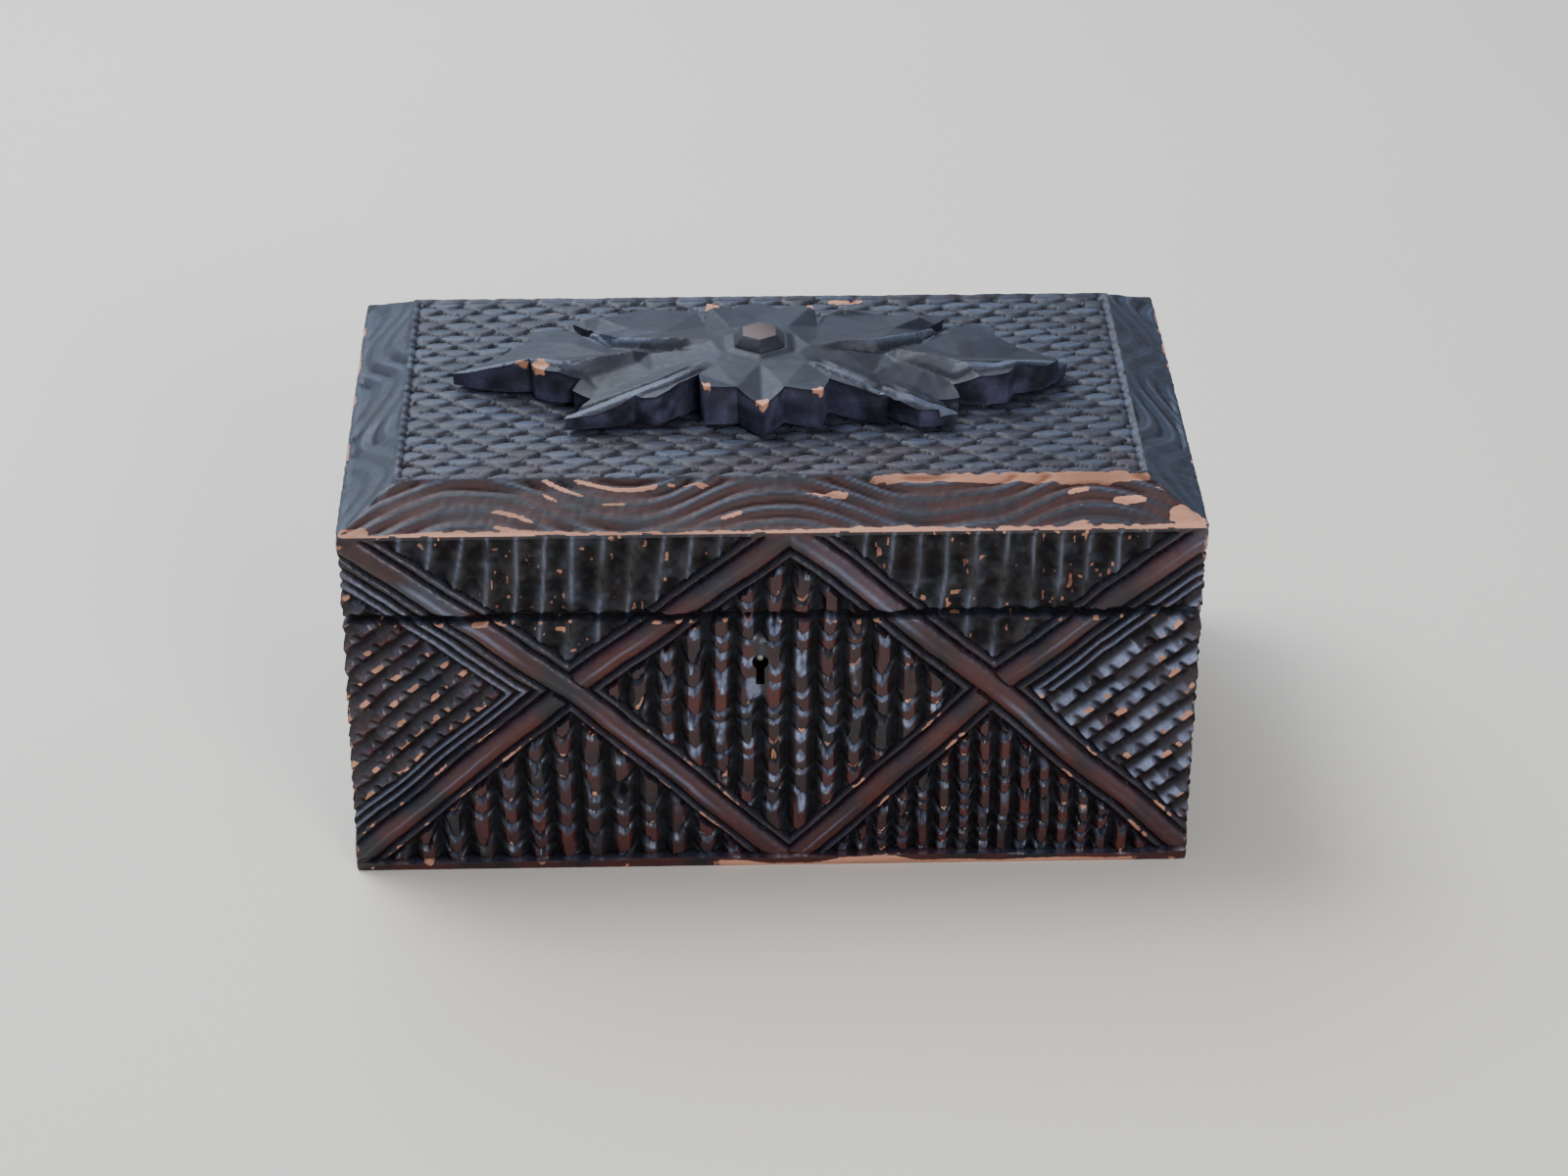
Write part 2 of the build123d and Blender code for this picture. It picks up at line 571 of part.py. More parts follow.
with BuildPart() as link_plate:
    with BuildSketch(Plane.XY.offset(LID_BOTTOM)):
        with Locations((LINK_X, (LOCK_OUTER_Y + LOCK_INNER_Y) / 2)):
            Rectangle(2 * LINK_HALF_WIDTH, LOCK_DEPTH)
    extrude(amount=LOCK_PLATE)
    for offset in LOOP_OFFSETS:
        with BuildSketch(Plane.YZ.offset(LOCK_X + offset - LOOP_THICKNESS / 2)):
            with Locations((LOOP_Y, (LOOP_BOTTOM + LID_BOTTOM) / 2)):
                Rectangle(LOOP_DEPTH, LID_BOTTOM - LOOP_BOTTOM)
            with Locations((LOOP_Y, (FINGER_BOTTOM + FINGER_TOP) / 2)):
                Rectangle(
                    LOOP_WINDOW, FINGER_TOP - FINGER_BOTTOM + 2 * LOOP_FINGER_SPACE, mode=Mode.SUBTRACT
                )
        extrude(amount=LOOP_THICKNESS)
    with Locations(*link_screw_places):
        CounterSinkHole(
            SCREW_SHANK_RADIUS + SCREW_FIT,
            SCREW_HEAD_RADIUS + SCREW_FIT,
            depth=LOCK_PLATE + SINK_OVERRUN,
            counter_sink_angle=SINK_ANGLE,
        )
save(link_plate, "link_plate")

# ---------------------------------------------------------------- leaf ornament
# Plan outline of the ornament, anticlockwise from the tip of the front leaf.  Each leaf runs from
# one deep notch to the next.
FRONT_RIGHT_LEAF = [(14.2, -17.0), (22.0, -21.5), (27.8, -23.4), (27.0, -19.0), (35.0, -24.8)]
FRONT_RIGHT_LEAF += [(44.2, -23.8), (40.0, -18.2), (45.0, -17.6), (43.6, -13.0)]
RIGHT_LEAF = [(50.0, -14.2), (57.0, -13.0), (59.0, -8.6), (66.3, -6.4), (72.4, 0.8), (71.5, 3.0)]
RIGHT_LEAF += [(61.5, 10.0), (56.0, 16.5), (56.2, 21.6), (50.8, 23.3), (46.5, 20.8), (41.0, 17.6)]
BACK_RIGHT_LEAF = [(33.0, 17.5), (38.5, 20.5), (43.8, 25.6), (44.6, 29.4), (38.6, 28.0), (29.0, 27.4)]
BACK_RIGHT_LEAF += [(15.2, 25.8), (12.6, 16.0)]
BACK_LEAF = [(11.8, 26.2), (3.5, 25.8), (-1.8, 31.0), (-7.4, 26.0), (-14.0, 27.8)]
BACK_LEFT_LEAF = [(-14.2, 17.6), (-16.2, 27.6), (-28.2, 30.4), (-44.2, 28.8), (-46.9, 27.2)]
BACK_LEFT_LEAF += [(-41.0, 20.0), (-33.5, 16.5)]
LEFT_LEAF = [(-43.6, 16.6), (-47.7, 20.3), (-52.1, 22.2), (-57.8, 20.9), (-57.0, 16.0), (-64.0, 8.0)]
LEFT_LEAF += [(-75.2, -0.6), (-66.0, -4.4), (-56.4, -5.0), (-55.2, -8.4), (-49.5, -10.8), (-44.2, -10.4)]
FRONT_LEFT_LEAF = [(-46.2, -13.4), (-41.8, -16.6), (-48.0, -24.2), (-38.0, -23.4), (-31.4, -20.8)]
FRONT_LEFT_LEAF += [(-26.6, -22.6), (-21.2, -18.2), (-16.4, -14.5)]
FRONT_LEAF = [(-15.4, -22.4), (-7.6, -22.0), (-1.8, -28.6), (3.6, -22.0), (12.0, -25.2)]
LEAF_OUTLINE = FRONT_RIGHT_LEAF + RIGHT_LEAF + BACK_RIGHT_LEAF + BACK_LEAF + BACK_LEFT_LEAF
LEAF_OUTLINE += LEFT_LEAF + FRONT_LEFT_LEAF + FRONT_LEAF

with BuildPart() as leaf_carving:
    with BuildSketch(Plane.XY.offset(LEAF_BOTTOM)):
        with BuildLine():
            Polyline(*LEAF_OUTLINE, close=True)
        make_face()
    extrude(amount=LEAF_TOP - LEAF_BOTTOM)
    # The ornament falls away from its middle to thin tips, as an oval cone would cut it
    with BuildSketch(Plane.XY.offset(LEAF_BOTTOM)):
        with Locations((PIVOT_X, PIVOT_Y)):
            Ellipse(*LEAF_FOOT_OVAL)
    with BuildSketch(Plane.XY.offset(LEAF_TOP)):
        with Locations((PIVOT_X, PIVOT_Y)):
            Ellipse(*LEAF_TOP_OVAL)
    loft(ruled=True, mode=Mode.INTERSECT)
    with Locations((PIVOT_X, PIVOT_Y, LEAF_TOP)):
        Hole(PEG_RADIUS + RUNNING_FIT)
save(leaf_carving, "leaf_carving")

with BuildPart() as pivot_peg:
    with BuildSketch(Plane.XY.offset(PEG_END)):
        with Locations((PIVOT_X, PIVOT_Y)):
            Circle(PEG_RADIUS)
    extrude(amount=LEAF_TOP - PEG_END)
    chamfer(pivot_peg.edges().group_by(Axis.Z)[0], PEG_CHAMFER)
    # Faceted head that stands on the ornament
    with BuildSketch(Plane.XY.offset(LEAF_TOP)):
        with Locations((PIVOT_X, PIVOT_Y)):
            RegularPolygon(BOSS_BASE_RADIUS, 6, rotation=30)
    with BuildSketch(Plane.XY.offset(BOSS_TOP)):
        with Locations((PIVOT_X, PIVOT_Y)):
            RegularPolygon(BOSS_TOP_RADIUS, 6, rotation=30)
    loft(ruled=True)
    with Locations(Location((PIVOT_X, PIVOT_Y, CROSS_PIN_Z), (0, 90, 0))):
        Cylinder(CROSS_PIN_RADIUS + RUNNING_FIT, 3 * PEG_RADIUS, mode=Mode.SUBTRACT)
save(pivot_peg, "pivot_peg")

with BuildPart() as peg_washer:
    with BuildSketch(Plane.XY.offset(WASHER_TOP)):
        with Locations((PIVOT_X, PIVOT_Y)):
            Circle(WASHER_RADIUS)
            Circle(PEG_RADIUS + RUNNING_FIT, mode=Mode.SUBTRACT)
    extrude(amount=-WASHER_THICKNESS)
save(peg_washer, "peg_washer")

with BuildPart() as peg_cross_pin:
    with Locations(Location((PIVOT_X, PIVOT_Y, CROSS_PIN_Z), (0, 90, 0))):
        Cylinder(CROSS_PIN_RADIUS, CROSS_PIN_LENGTH)
    chamfer(peg_cross_pin.edges().filter_by(GeomType.CIRCLE), CROSS_PIN_CHAMFER)
save(peg_cross_pin, "peg_cross_pin")

# ---------------------------------------------------------------- hidden key
bit_start, bit_end = KEY_BIT_SPAN
bit_middle = (bit_start + bit_end) / 2
shank_start = KEY_BOW_X + KEY_BOW_RADIUS - KEY_BOW_LAP
with BuildPart() as hidden_key:
    with BuildSketch(Plane.XY.offset(KEY_AXIS_Z - KEY_BOW_THICKNESS / 2)):
        with Locations((KEY_BOW_X, RECESS_Y)):
            Circle(KEY_BOW_RADIUS)
            Circle(KEY_BOW_HOLE, mode=Mode.SUBTRACT)
    extrude(amount=KEY_BOW_THICKNESS)
    fillet(hidden_key.edges().filter_by(GeomType.CIRCLE), KEY_BOW_ROUNDING)
    with BuildSketch(Plane.YZ.offset(shank_start)):
        with Locations((RECESS_Y, KEY_AXIS_Z)):
            Circle(KEY_SHANK_RADIUS)
    extrude(amount=KEY_TIP_X - shank_start)
    with BuildSketch(Plane.YZ.offset(shank_start + KEY_COLLAR_START)):
        with Locations((RECESS_Y, KEY_AXIS_Z)):
            Circle(KEY_COLLAR_RADIUS)
    extrude(amount=KEY_COLLAR_LENGTH)
    # Bit with one ward slot in its end
    with BuildSketch(Plane.XY.offset(KEY_AXIS_Z - KEY_BIT_THICKNESS / 2)):
        with Locations((bit_middle, RECESS_Y - (KEY_BIT_REACH + KEY_BIT_ROOT) / 2)):
            Rectangle(bit_end - bit_start, KEY_BIT_REACH - KEY_BIT_ROOT)
        with Locations((bit_middle, RECESS_Y - KEY_BIT_REACH)):
            Rectangle(KEY_WARD_WIDTH, 2 * KEY_WARD_DEPTH, mode=Mode.SUBTRACT)
    extrude(amount=KEY_BIT_THICKNESS)
    with BuildSketch(Plane.YZ.offset(KEY_TIP_X)):
        with Locations((RECESS_Y, KEY_AXIS_Z)):
            Circle(KEY_BORE_RADIUS)
    extrude(amount=-KEY_BORE_DEPTH, mode=Mode.SUBTRACT)
save(hidden_key, "hidden_key")
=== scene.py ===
import json
import math
from contextlib import contextmanager

import bmesh
import bpy
import numpy as np
from mathutils import Matrix, Vector
from mathutils.geometry import delaunay_2d_cdt


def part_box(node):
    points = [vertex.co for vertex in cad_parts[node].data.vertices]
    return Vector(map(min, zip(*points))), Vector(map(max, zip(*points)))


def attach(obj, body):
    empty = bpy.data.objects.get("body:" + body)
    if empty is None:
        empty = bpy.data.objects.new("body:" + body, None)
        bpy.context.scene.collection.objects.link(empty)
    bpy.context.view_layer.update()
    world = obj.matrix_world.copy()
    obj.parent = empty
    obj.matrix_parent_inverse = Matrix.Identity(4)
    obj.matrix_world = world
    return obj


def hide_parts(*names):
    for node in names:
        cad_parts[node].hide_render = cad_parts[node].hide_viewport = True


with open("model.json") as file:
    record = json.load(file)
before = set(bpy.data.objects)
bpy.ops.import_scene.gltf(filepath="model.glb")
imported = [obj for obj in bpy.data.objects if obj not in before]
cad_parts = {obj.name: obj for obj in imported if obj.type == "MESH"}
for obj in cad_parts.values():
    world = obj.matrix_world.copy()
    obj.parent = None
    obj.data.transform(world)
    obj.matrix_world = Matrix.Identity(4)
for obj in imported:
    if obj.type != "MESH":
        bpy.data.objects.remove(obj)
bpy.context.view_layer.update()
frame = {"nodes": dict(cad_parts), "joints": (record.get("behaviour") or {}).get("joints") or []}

scene = bpy.context.scene
nodes = frame["nodes"]
MM = 0.001

# ---- places, in millimetres
low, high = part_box("front_board")
HALF_WIDTH = high.x / MM
HALF_DEPTH = -low.y / MM
BOX_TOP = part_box("lid_front_rail")[1].z / MM
SEAM = (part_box("front_board")[1].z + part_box("lid_front_rail")[0].z) / 2 / MM
LID_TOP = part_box("lid_top_board")[1].z / MM
BEVEL_INSET = 13.4
MARGIN = 1.0  # how far a carved surface reaches past the box, so that it cuts cleanly
LEAF_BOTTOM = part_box("leaf_carving")[0].z / MM
leaf_joint = next(j for j in frame["joints"] if j["name"] == "leaf_turn")
PIVOT = np.array(leaf_joint["pos_m"][:2]) / MM
PEG_HOLE = 4.05
KEYHOLE_X, KEYHOLE_Z = -3.0, 55.5
KEYHOLE_BACK = -50.0

# ---- seeded hand work
TABLE = np.random.default_rng(11).random((256, 256))


def cell(i, j, seed):
    """A random number from 0 to 1 for each whole-numbered cell."""
    i = np.asarray(i).astype(int)
    j = np.asarray(j).astype(int)
    return TABLE[(i + 37 * seed) & 255, (j + 91 * seed) & 255]


def noise(a, b, size, seed):
    """Smooth lumps from -1 to 1; size is the width of one lump."""
    a = np.asarray(a) / size
    b = np.asarray(b) / size
    i, j = np.floor(a), np.floor(b)
    f, g = a - i, b - j
    f = f * f * (3 - 2 * f)
    g = g * g * (3 - 2 * g)
    near = cell(i, j, seed) * (1 - f) + cell(i + 1, j, seed) * f
    far = cell(i, j + 1, seed) * (1 - f) + cell(i + 1, j + 1, seed) * f
    return 2 * (near * (1 - g) + far * g) - 1


def ramp(start, end, value):
    """0 at start, 1 at end, smooth between."""
    t = np.clip((value - start) / (end - start), 0, 1)
    return t * t * (3 - 2 * t)


def groove(distance, half):
    """1 in the middle of a V cut and 0 beyond its half width."""
    return np.clip(1 - abs(distance) / half, 0, 1)


# ---- carved side panels
SKIN = 0.35  # depth of the highest carved points under the CAD face
DEEPEST = 2.9
FOOT_TOP = 3.0
MOULDING_HALF = 2.6
MOULDING_RADIUS = 2.75
BAND_HALF = 5.5
REED_AT = 4.1
# The two reeds beside the moulding: distances from the band's middle, and depths there
BAND_AT = [2.6, 2.95, 3.3, 3.8, 4.15, 4.6, 5.0, 5.5]
BAND_DEPTH = [1.2, 2.4, 1.4, 0.75, 0.65, 0.9, 1.6, 2.4]
FLUTE_PITCH = 6.6
FLUTE_LEAN = 0.09
MIDDLE_RIBS = (6.35, 5.7, 1.0)  # pitch, chip length and strength of the painted highlight
REEDED_WIDTH = 4.4  # strip of reeds between a band and the teeth beside it
REED_PITCH = 2.2


def band(t):
    """Depth across a band: a half-round moulding with two thin reeds on each side."""
    t = abs(t)
    round_part = 0.15 + 1.4 * (1 - np.sqrt(np.clip(1 - (t / MOULDING_RADIUS) ** 2, 0, 1)))
    return np.where(t < MOULDING_HALF, round_part, np.interp(t, BAND_AT, BAND_DEPTH))


def flutes(s, z, seed):
    """Long hollow flutes with thin ridges between them, leaning a little.

    Like columns and teeth, this gives the depth, the bare wood, the brown and the painted
    highlight.
    """
    u = (s - FLUTE_LEAN * (z - 80)) / FLUTE_PITCH + 0.07 * noise(s, z, 9, seed)
    f = u - np.floor(u)
    hollow = 1 - (2 * f - 1) ** 2
    rough = noise(s, z, 1.2, seed + 1) * 0.24 * hollow + 0.3 * hollow * noise(s, z, 3, seed + 5)
    depth = 0.5 + 1.35 * hollow**0.6 + rough
    fleck = ramp(0.72, 0.86, noise(s, z / 1.6, 0.9, seed + 2) * 0.5 + 0.5)
    fleck = fleck * ramp(0.2, 0.6, hollow)
    fleck = fleck * (cell(np.floor(u), np.floor(z / 4), seed + 3) > 0.5)
    # Painted highlight along the thin ridges, and faintly at random
    highlight = 0.3 * ramp(0.42, 0.05, hollow) * ramp(-0.6, 0.3, noise(s, z, 8, seed + 7))
    highlight = highlight + 0.1 * ramp(0.1, 0.8, noise(s, z, 3, seed + 6))
    brown = 0.22 * hollow * ramp(-0.4, 0.8, noise(s, z, 3, seed + 4))
    return depth, 0.7 * fleck, brown, highlight


def columns(s, z, origin, pitch, chip, highlight_strength, seed):
    """Upright ribs between V flutes, each notched into a stack of downward V chips."""
    u = (s - origin) / pitch + 0.05 * noise(s, z, 7, seed)
    k = np.floor(u + 0.5)
    d = u - k + 0.05 * (cell(k, np.floor(z / 7), seed + 9) - 0.5)
    flute = np.clip((abs(d) - 0.2) / 0.24, 0, 1)
    pace = 0.85 + 0.5 * cell(k, 5, seed + 10)
    phase = (z - 1.1 * abs(d) * pitch) / (chip * pace)
    phase = phase + cell(k, 0, seed) + 0.5 * noise(s, z, 5, seed + 1)
    row = np.floor(phase)
    f = phase - row
    size = 0.55 + 0.8 * cell(k, row, seed + 2)
    cut = np.clip((f - 0.64) / 0.36, 0, 1)
    depth = SKIN + 1.5 * size * cut * (1 - 0.8 * flute) + 1.75 * flute**0.8
    depth = depth + 0.15 * flute * noise(s, z, 1.4, seed + 3)
    inner = ramp(0.24, 0.14, abs(d)) * (1 - 0.5 * ramp(0.05, 0.0, abs(d)))
    tip = ramp(0.28, 0.04, f) * ramp(0.2, 0.06, abs(d))
    tip = tip * ramp(-0.3, 0.3, noise(s, z, 1.5, seed + 7))
    chosen = cell(k, row, seed + 4)
    worn = tip * (chosen > 0.74) + inner * ramp(0.3, 0.7, cut) * (chosen < 0.07)
    brown = ramp(0.45, 0.1, flute) * ramp(0.2, 0.0, cut) * (0.35 + 0.65 * cell(k, row, seed + 6))
    lit = cell(k, row, seed + 8)
    # Painted highlight on the up-facing cut facets of some chips
    highlight = inner * ramp(0.0, 0.12, cut) * ramp(1.0, 0.85, cut) * ramp(0.15, 0.6, lit)
    highlight = highlight_strength * highlight * (0.45 + 0.55 * ramp(-0.4, 0.4, noise(s, z, 1.0, seed + 11)))
    return depth, worn, brown, highlight + 0.06 * flute * ramp(-0.2, 0.6, noise(s, z, 3, seed + 12))


def teeth(over, under, pitch, bare, highlight_strength, seed):
    """Rows of teeth: slopes that face up, with notches cut into their lower edges."""
    a = -under / pitch + 0.09 * noise(over, under, 8, seed)
    i = np.floor(a)
    f = a - i
    b = over / pitch / 1.05 + 0.35 * cell(i, 3, seed) + 0.1 * noise(over, under, 7, seed + 1)
    j = np.floor(b)
    g = b - j
    slope = np.where(f < 0.68, 1 - f / 0.68, (f - 0.68) / 0.32)
    off_centre = abs(g - np.floor(g + 0.5))
    notch = np.clip((off_centre - 0.2) / 0.3, 0, 1) * ramp(0.05, 0.6, f)
    cutting = np.maximum(slope, notch)
    depth = SKIN + (0.6 + 0.2 * pitch) * cutting * (0.75 + 0.45 * cell(i, j, seed + 2))
    crest = ramp(0.42, 0.12, cutting)
    ragged = ramp(-0.3, 0.3, noise(over, under, 1.5, seed + 4))
    worn = crest * ragged * (cell(i, np.floor(b + 0.5), seed + 3) < bare)
    # Painted highlight on the slopes that face up
    highlight = highlight_strength * ramp(0.15, 0.5, f) * ramp(0.8, 0.66, f) * (1 - notch) * cell(i, j, seed + 6)
    return depth, worn, 0.2 + 0.6 * crest, highlight


def pick(mask, new, old):
    return tuple(np.where(mask, a, b) for a, b in zip(new, old))


def panel(s, z, layout):
    """The carving of one side of the box: its depth, how bare and brown it is, its painted
    highlights, and its painted shade in deep cuts and the seam.

    S runs to the right and z upwards, seen from outside. The carving follows them with a
    little hand wobble, and s0 and z0 are the true places.
    """
    seed = layout["seed"]
    s0, z0 = s, z
    s = s0 + 0.5 * noise(s0, z0, 15, seed) + 0.14 * noise(s0, z0, 4, seed + 1)
    z = z0 + 0.5 * noise(s0, z0, 17, seed + 2) + 0.14 * noise(s0, z0, 4, seed + 3)
    half = layout["half"]
    depth = np.full(s.shape, 0.4)
    worn, brown, highlight = (np.zeros(s.shape) for _ in range(3))
    for limits, cross_z, over_ends, under_ends, kinds, bottom_ribs in layout["crosses"]:
        left, _, right = limits
        inside = (s0 >= left) & (s0 <= right)
        # Heights above the descending band (over) and above the ascending band (under)
        over_z = np.interp(s, limits, (over_ends[0], cross_z, over_ends[1]))
        under_z = np.interp(s, limits, (under_ends[0], cross_z, under_ends[1]))
        steep = (over_ends[0] - over_ends[1]) / (right - left)
        level = 1 / math.sqrt(1 + steep * steep)
        over = (z - over_z) * level
        under = (z - under_z) * level
        near = np.minimum(abs(over), abs(under))
        # Flutes at the top, ribs at the bottom, and ribs or teeth at the left and the right
        looks = flutes(s, z, seed + 10)
        bottom = (over < 0) & (under < 0)
        sides = {"left": (over < 0) & (under >= 0), "right": (over >= 0) & (under < 0)}
        looks = pick(bottom, columns(s, z, *bottom_ribs, seed + 20), looks)
        for name, kind in zip(("left", "right"), kinds):
            here = sides[name]
            if kind == COLUMNS:
                other = columns(s, z, layout["middle_origin"], *MIDDLE_RIBS, seed + 30)
            else:
                other = teeth(over, under, *kind, seed + 40)
            d, w, b, g = looks = pick(here, other, looks)
            if kind != COLUMNS:
                reeded = here & (near < BAND_HALF + REEDED_WIDTH)
                reeded &= (name == "left") | (abs(under) < abs(over))
                turn = (near - BAND_HALF) / REED_PITCH % 1
                d = np.where(reeded, 0.9 + 1.3 * abs(2 * turn - 1) ** 1.5, d)
                w = np.where(reeded, 0.4 * w * ramp(1.2, 0.95, d), w)
                # Painted highlight on the reeds' crests
                g = np.where(reeded, 0.4 * ramp(1.4, 0.95, d), g)
                looks = d, w, b, g
        # The two bands
        on_over = abs(over) < MOULDING_HALF + 0.3
        across = np.where(on_over, over, near)
        banded = near < BAND_HALF
        d, w, b, g = looks
        d = np.where(banded, band(across), d)
        along = np.where(abs(over) < abs(under), s - z, s + z)
        streak = noise(along, across * 3, 7, seed + 5) * 0.6
        streak = streak + noise(along, across * 3, 2, seed + 6) * 0.4
        low_part = ramp(58, 30, z) if layout["worn_bands"] else 0.3
        reed = groove(abs(across) - REED_AT, 0.9)
        rubbed = reed * ramp(0.15 - 0.25 * low_part, 0.6, streak) * (0.35 + 0.65 * low_part)
        w = np.where(banded, rubbed, w)
        b = np.where(banded, 0.2 + 0.6 * ramp(3.0, 2.2, abs(across)), b)
        lit = 0.42 * ramp(0.85, 0.2, abs(across + 0.35)) + 0.08 * reed
        lit = lit + 0.12 * ramp(2.6, 1.5, abs(across)) * ramp(60, 75, z)
        g = np.where(banded, lit * ramp(-0.5, 0.8, noise(along, 0, 22, seed + 15)), g)
        depth, worn, brown, highlight = pick(inside, (d, w, b, g), (depth, worn, brown, highlight))
    from_corner = half - abs(s0)
    depth = SKIN + (depth - SKIN) * (1 - 0.8 * np.exp(-abs(from_corner) / 2.4))
    # Plain strip along the foot, and a narrow one under the bevel
    foot = ramp(FOOT_TOP, FOOT_TOP - 0.6, z)
    depth = depth * (1 - foot) + 0.3 * foot + 0.9 * groove(z - FOOT_TOP - 0.1, 0.7)
    brown = np.maximum(brown, foot * 0.8)
    head = ramp(BOX_TOP - 1.7, BOX_TOP - 0.9, z0)
    depth = depth * (1 - head) + 0.45 * head
    # Chipped edges along the seam, and arrises that handling has rounded
    chip = ramp(0.0, 0.7, noise(s0, z0, 2.6, seed + 7) + 0.4 * noise(s0, z0, 7, seed + 8))
    wander = 0.3 * noise(s0, 0, 8, seed + 17) + 0.3 * noise(s0, 0, 2.4, seed + 18)
    from_seam = abs(z0 - SEAM + 0.25 + wander)
    depth = depth + 0.9 * chip * groove(z0 - SEAM, 1.5) + 2.2 * groove(from_seam, 1.35)
    depth = depth + 0.55 * np.exp(-from_corner / 0.8) + 0.35 * np.exp(-z0 / 0.7)
    depth = depth + 0.05 * noise(s0, z0, 0.9, seed + 9)
    under_seam = groove(z0 + wander - (SEAM - 1.3), 1.1) * ramp(1.6, 0.9, depth)
    worn = np.maximum(worn, under_seam * ramp(-0.05, 0.35, noise(s0, 0, 3.4, seed + 12)))
    edge = np.exp(-from_corner / 1.5)
    worn = np.maximum(worn, edge * ramp(0.1, 0.5, noise(s0, z0, 3.2, seed + 13)))
    # Bare wood along a stretch of the foot
    start, end = layout["bare_foot"]
    along_foot = ramp(start - 8, start + 6, s0) * ramp(end + 4, end - 6, s0)
    foot_height = 1.2 + 1.3 * noise(s0, 0, 9, seed + 14)
    worn = np.maximum(worn, along_foot * ramp(foot_height + 0.6, foot_height - 0.4, z0))
    highlight = highlight * (1 - foot)
    if layout["keyhole"]:
        # A painted highlight on a spot that keys have polished, and flatter ribs round the hole
        key_polish_highlight = np.hypot((s0 - KEYHOLE_X + 1.6) / 1.8, (z0 - KEYHOLE_Z + 5.0) / 3.6)
        key_polish_highlight = key_polish_highlight + 0.3 * noise(s0, z0, 1.5, seed + 16)
        highlight = np.maximum(highlight, 0.55 * ramp(1.1, 0.6, key_polish_highlight))
        beside = np.hypot((s0 - KEYHOLE_X + 0.6) / 3.2, (z0 - KEYHOLE_Z) / 7.0)
        beside = ramp(1.5, 0.8, beside)
        depth = depth - (depth - 0.5) * beside
        worn = worn * (1 - beside)
    depth = np.clip(depth, 0.12, DEEPEST)
    # Painted shade: darker in deep cuts and along the seam
    shade_in_cuts = 0.85 * ramp(0.95, 2.1, depth)
    shade_in_cuts = np.maximum(shade_in_cuts, ramp(1.3, 0.7, from_seam))
    return (depth, *(np.clip(part, 0, 1) for part in (worn, brown, highlight)), shade_in_cuts)


# Each cross, in millimetres: its left limit, middle and right limit, the middle's height, and the
# heights at the limits of its descending and its ascending band. Then what fills its left and
# right parts: ribs, or teeth with their pitch, bare share and strength of painted highlight. Last
# come the ribs at its foot: their origin, pitch, chip length and strength of painted highlight.
COLUMNS = "columns"
LEFT_TEETH = (4.7, 0.72, 0.2)
RIGHT_TEETH = (5.2, 0.4, 1.1)
BACK_TEETH = (4.6, 0.4, 0.3)
END_TEETH = (4.8, 0.42, 0.3)
PLAIN = {"middle_origin": 0.0, "worn_bands": False, "keyhole": False}
FRONT = {
    "seed": 1,
    "half": HALF_WIDTH,
    "crosses": [
        (
            (-HALF_WIDTH, -47.5, 4.0), 50.5, (91.5, 0.5), (2.5, 91.5),
            (LEFT_TEETH, COLUMNS), (-49.0, 6.6, 5.4, 0.35),
        ),
        (
            (4.0, 51.5, HALF_WIDTH), 49.5, (91.5, 2.0), (0.5, 90.5),
            (COLUMNS, RIGHT_TEETH), (50.0, 4.8, 4.6, 0.3),
        ),
    ],
    "middle_origin": 0.4,
    "worn_bands": True,
    "keyhole": True,
    "bare_foot": (-12, 88),
}
BACK = {
    **PLAIN,
    "seed": 61,
    "half": HALF_WIDTH,
    "crosses": [
        (
            (-HALF_WIDTH, -49.0, 0.0), 48.5, (91.0, 1.0), (2.0, 91.5),
            (BACK_TEETH, COLUMNS), (-50.0, 6.6, 5.4, 0.3),
        ),
        (
            (0.0, 50.0, HALF_WIDTH), 49.0, (91.5, 2.0), (1.0, 91.0),
            (COLUMNS, BACK_TEETH), (50.0, 6.2, 5.2, 0.3),
        ),
    ],
    "bare_foot": (-80, -20),
}
LEFT = {
    **PLAIN,
    "seed": 121,
    "half": HALF_DEPTH,
    "crosses": [
        (
            (-HALF_DEPTH, 0.0, HALF_DEPTH), 48.0, (91.0, 2.0), (2.0, 91.0),
            (END_TEETH, END_TEETH), (0.0, 6.6, 5.4, 0.3),
        ),
    ],
    "bare_foot": (-30, 10),
}
RIGHT = dict(LEFT, seed=181, bare_foot=(0, 50))

# ---- cutting the carving into the CAD
# What the stained wood's material reads from each point: bare wood, red-brown wood, a painted
# highlight, painted shade in deep cuts, and how much painted sky reflection the point takes
# where it faces up
LOOK_NAMES = ("worn", "brown", "highlight", "shade_in_cuts", "reflection_share")
WELD = 1e-6


def placed(name, data):
    made = bpy.data.objects.new(name, data)
    scene.collection.objects.link(made)
    return made


@contextmanager
def edited(mesh):
    """A mesh open for editing. What is done to it is written back at the end."""
    work = bmesh.new()
    work.from_mesh(mesh)
    yield work
    work.to_mesh(mesh)
    work.free()


def mesh_object(name, points, faces):
    """A closed mesh from points in metres, with its faces turned outwards."""
    mesh = bpy.data.meshes.new(name)
    mesh.from_pydata(np.asarray(points).tolist(), [], faces)
    mesh.update()
    with edited(mesh) as work:
        bmesh.ops.recalc_face_normals(work, faces=work.faces)
    return placed(name, mesh)


def set_materials(mesh, *materials):
    mesh.materials.clear()
    for material in materials:
        mesh.materials.append(material)


def set_values(mesh, name, values):
    layer = mesh.attributes.get(name) or mesh.attributes.new(name, "FLOAT", "POINT")
    layer.data.foreach_set("value", np.asarray(values, np.float32))


def get_values(mesh, name):
    values = np.zeros(len(mesh.vertices), np.float32)
    if name in mesh.attributes:
        mesh.attributes[name].data.foreach_get("value", values)
    return values


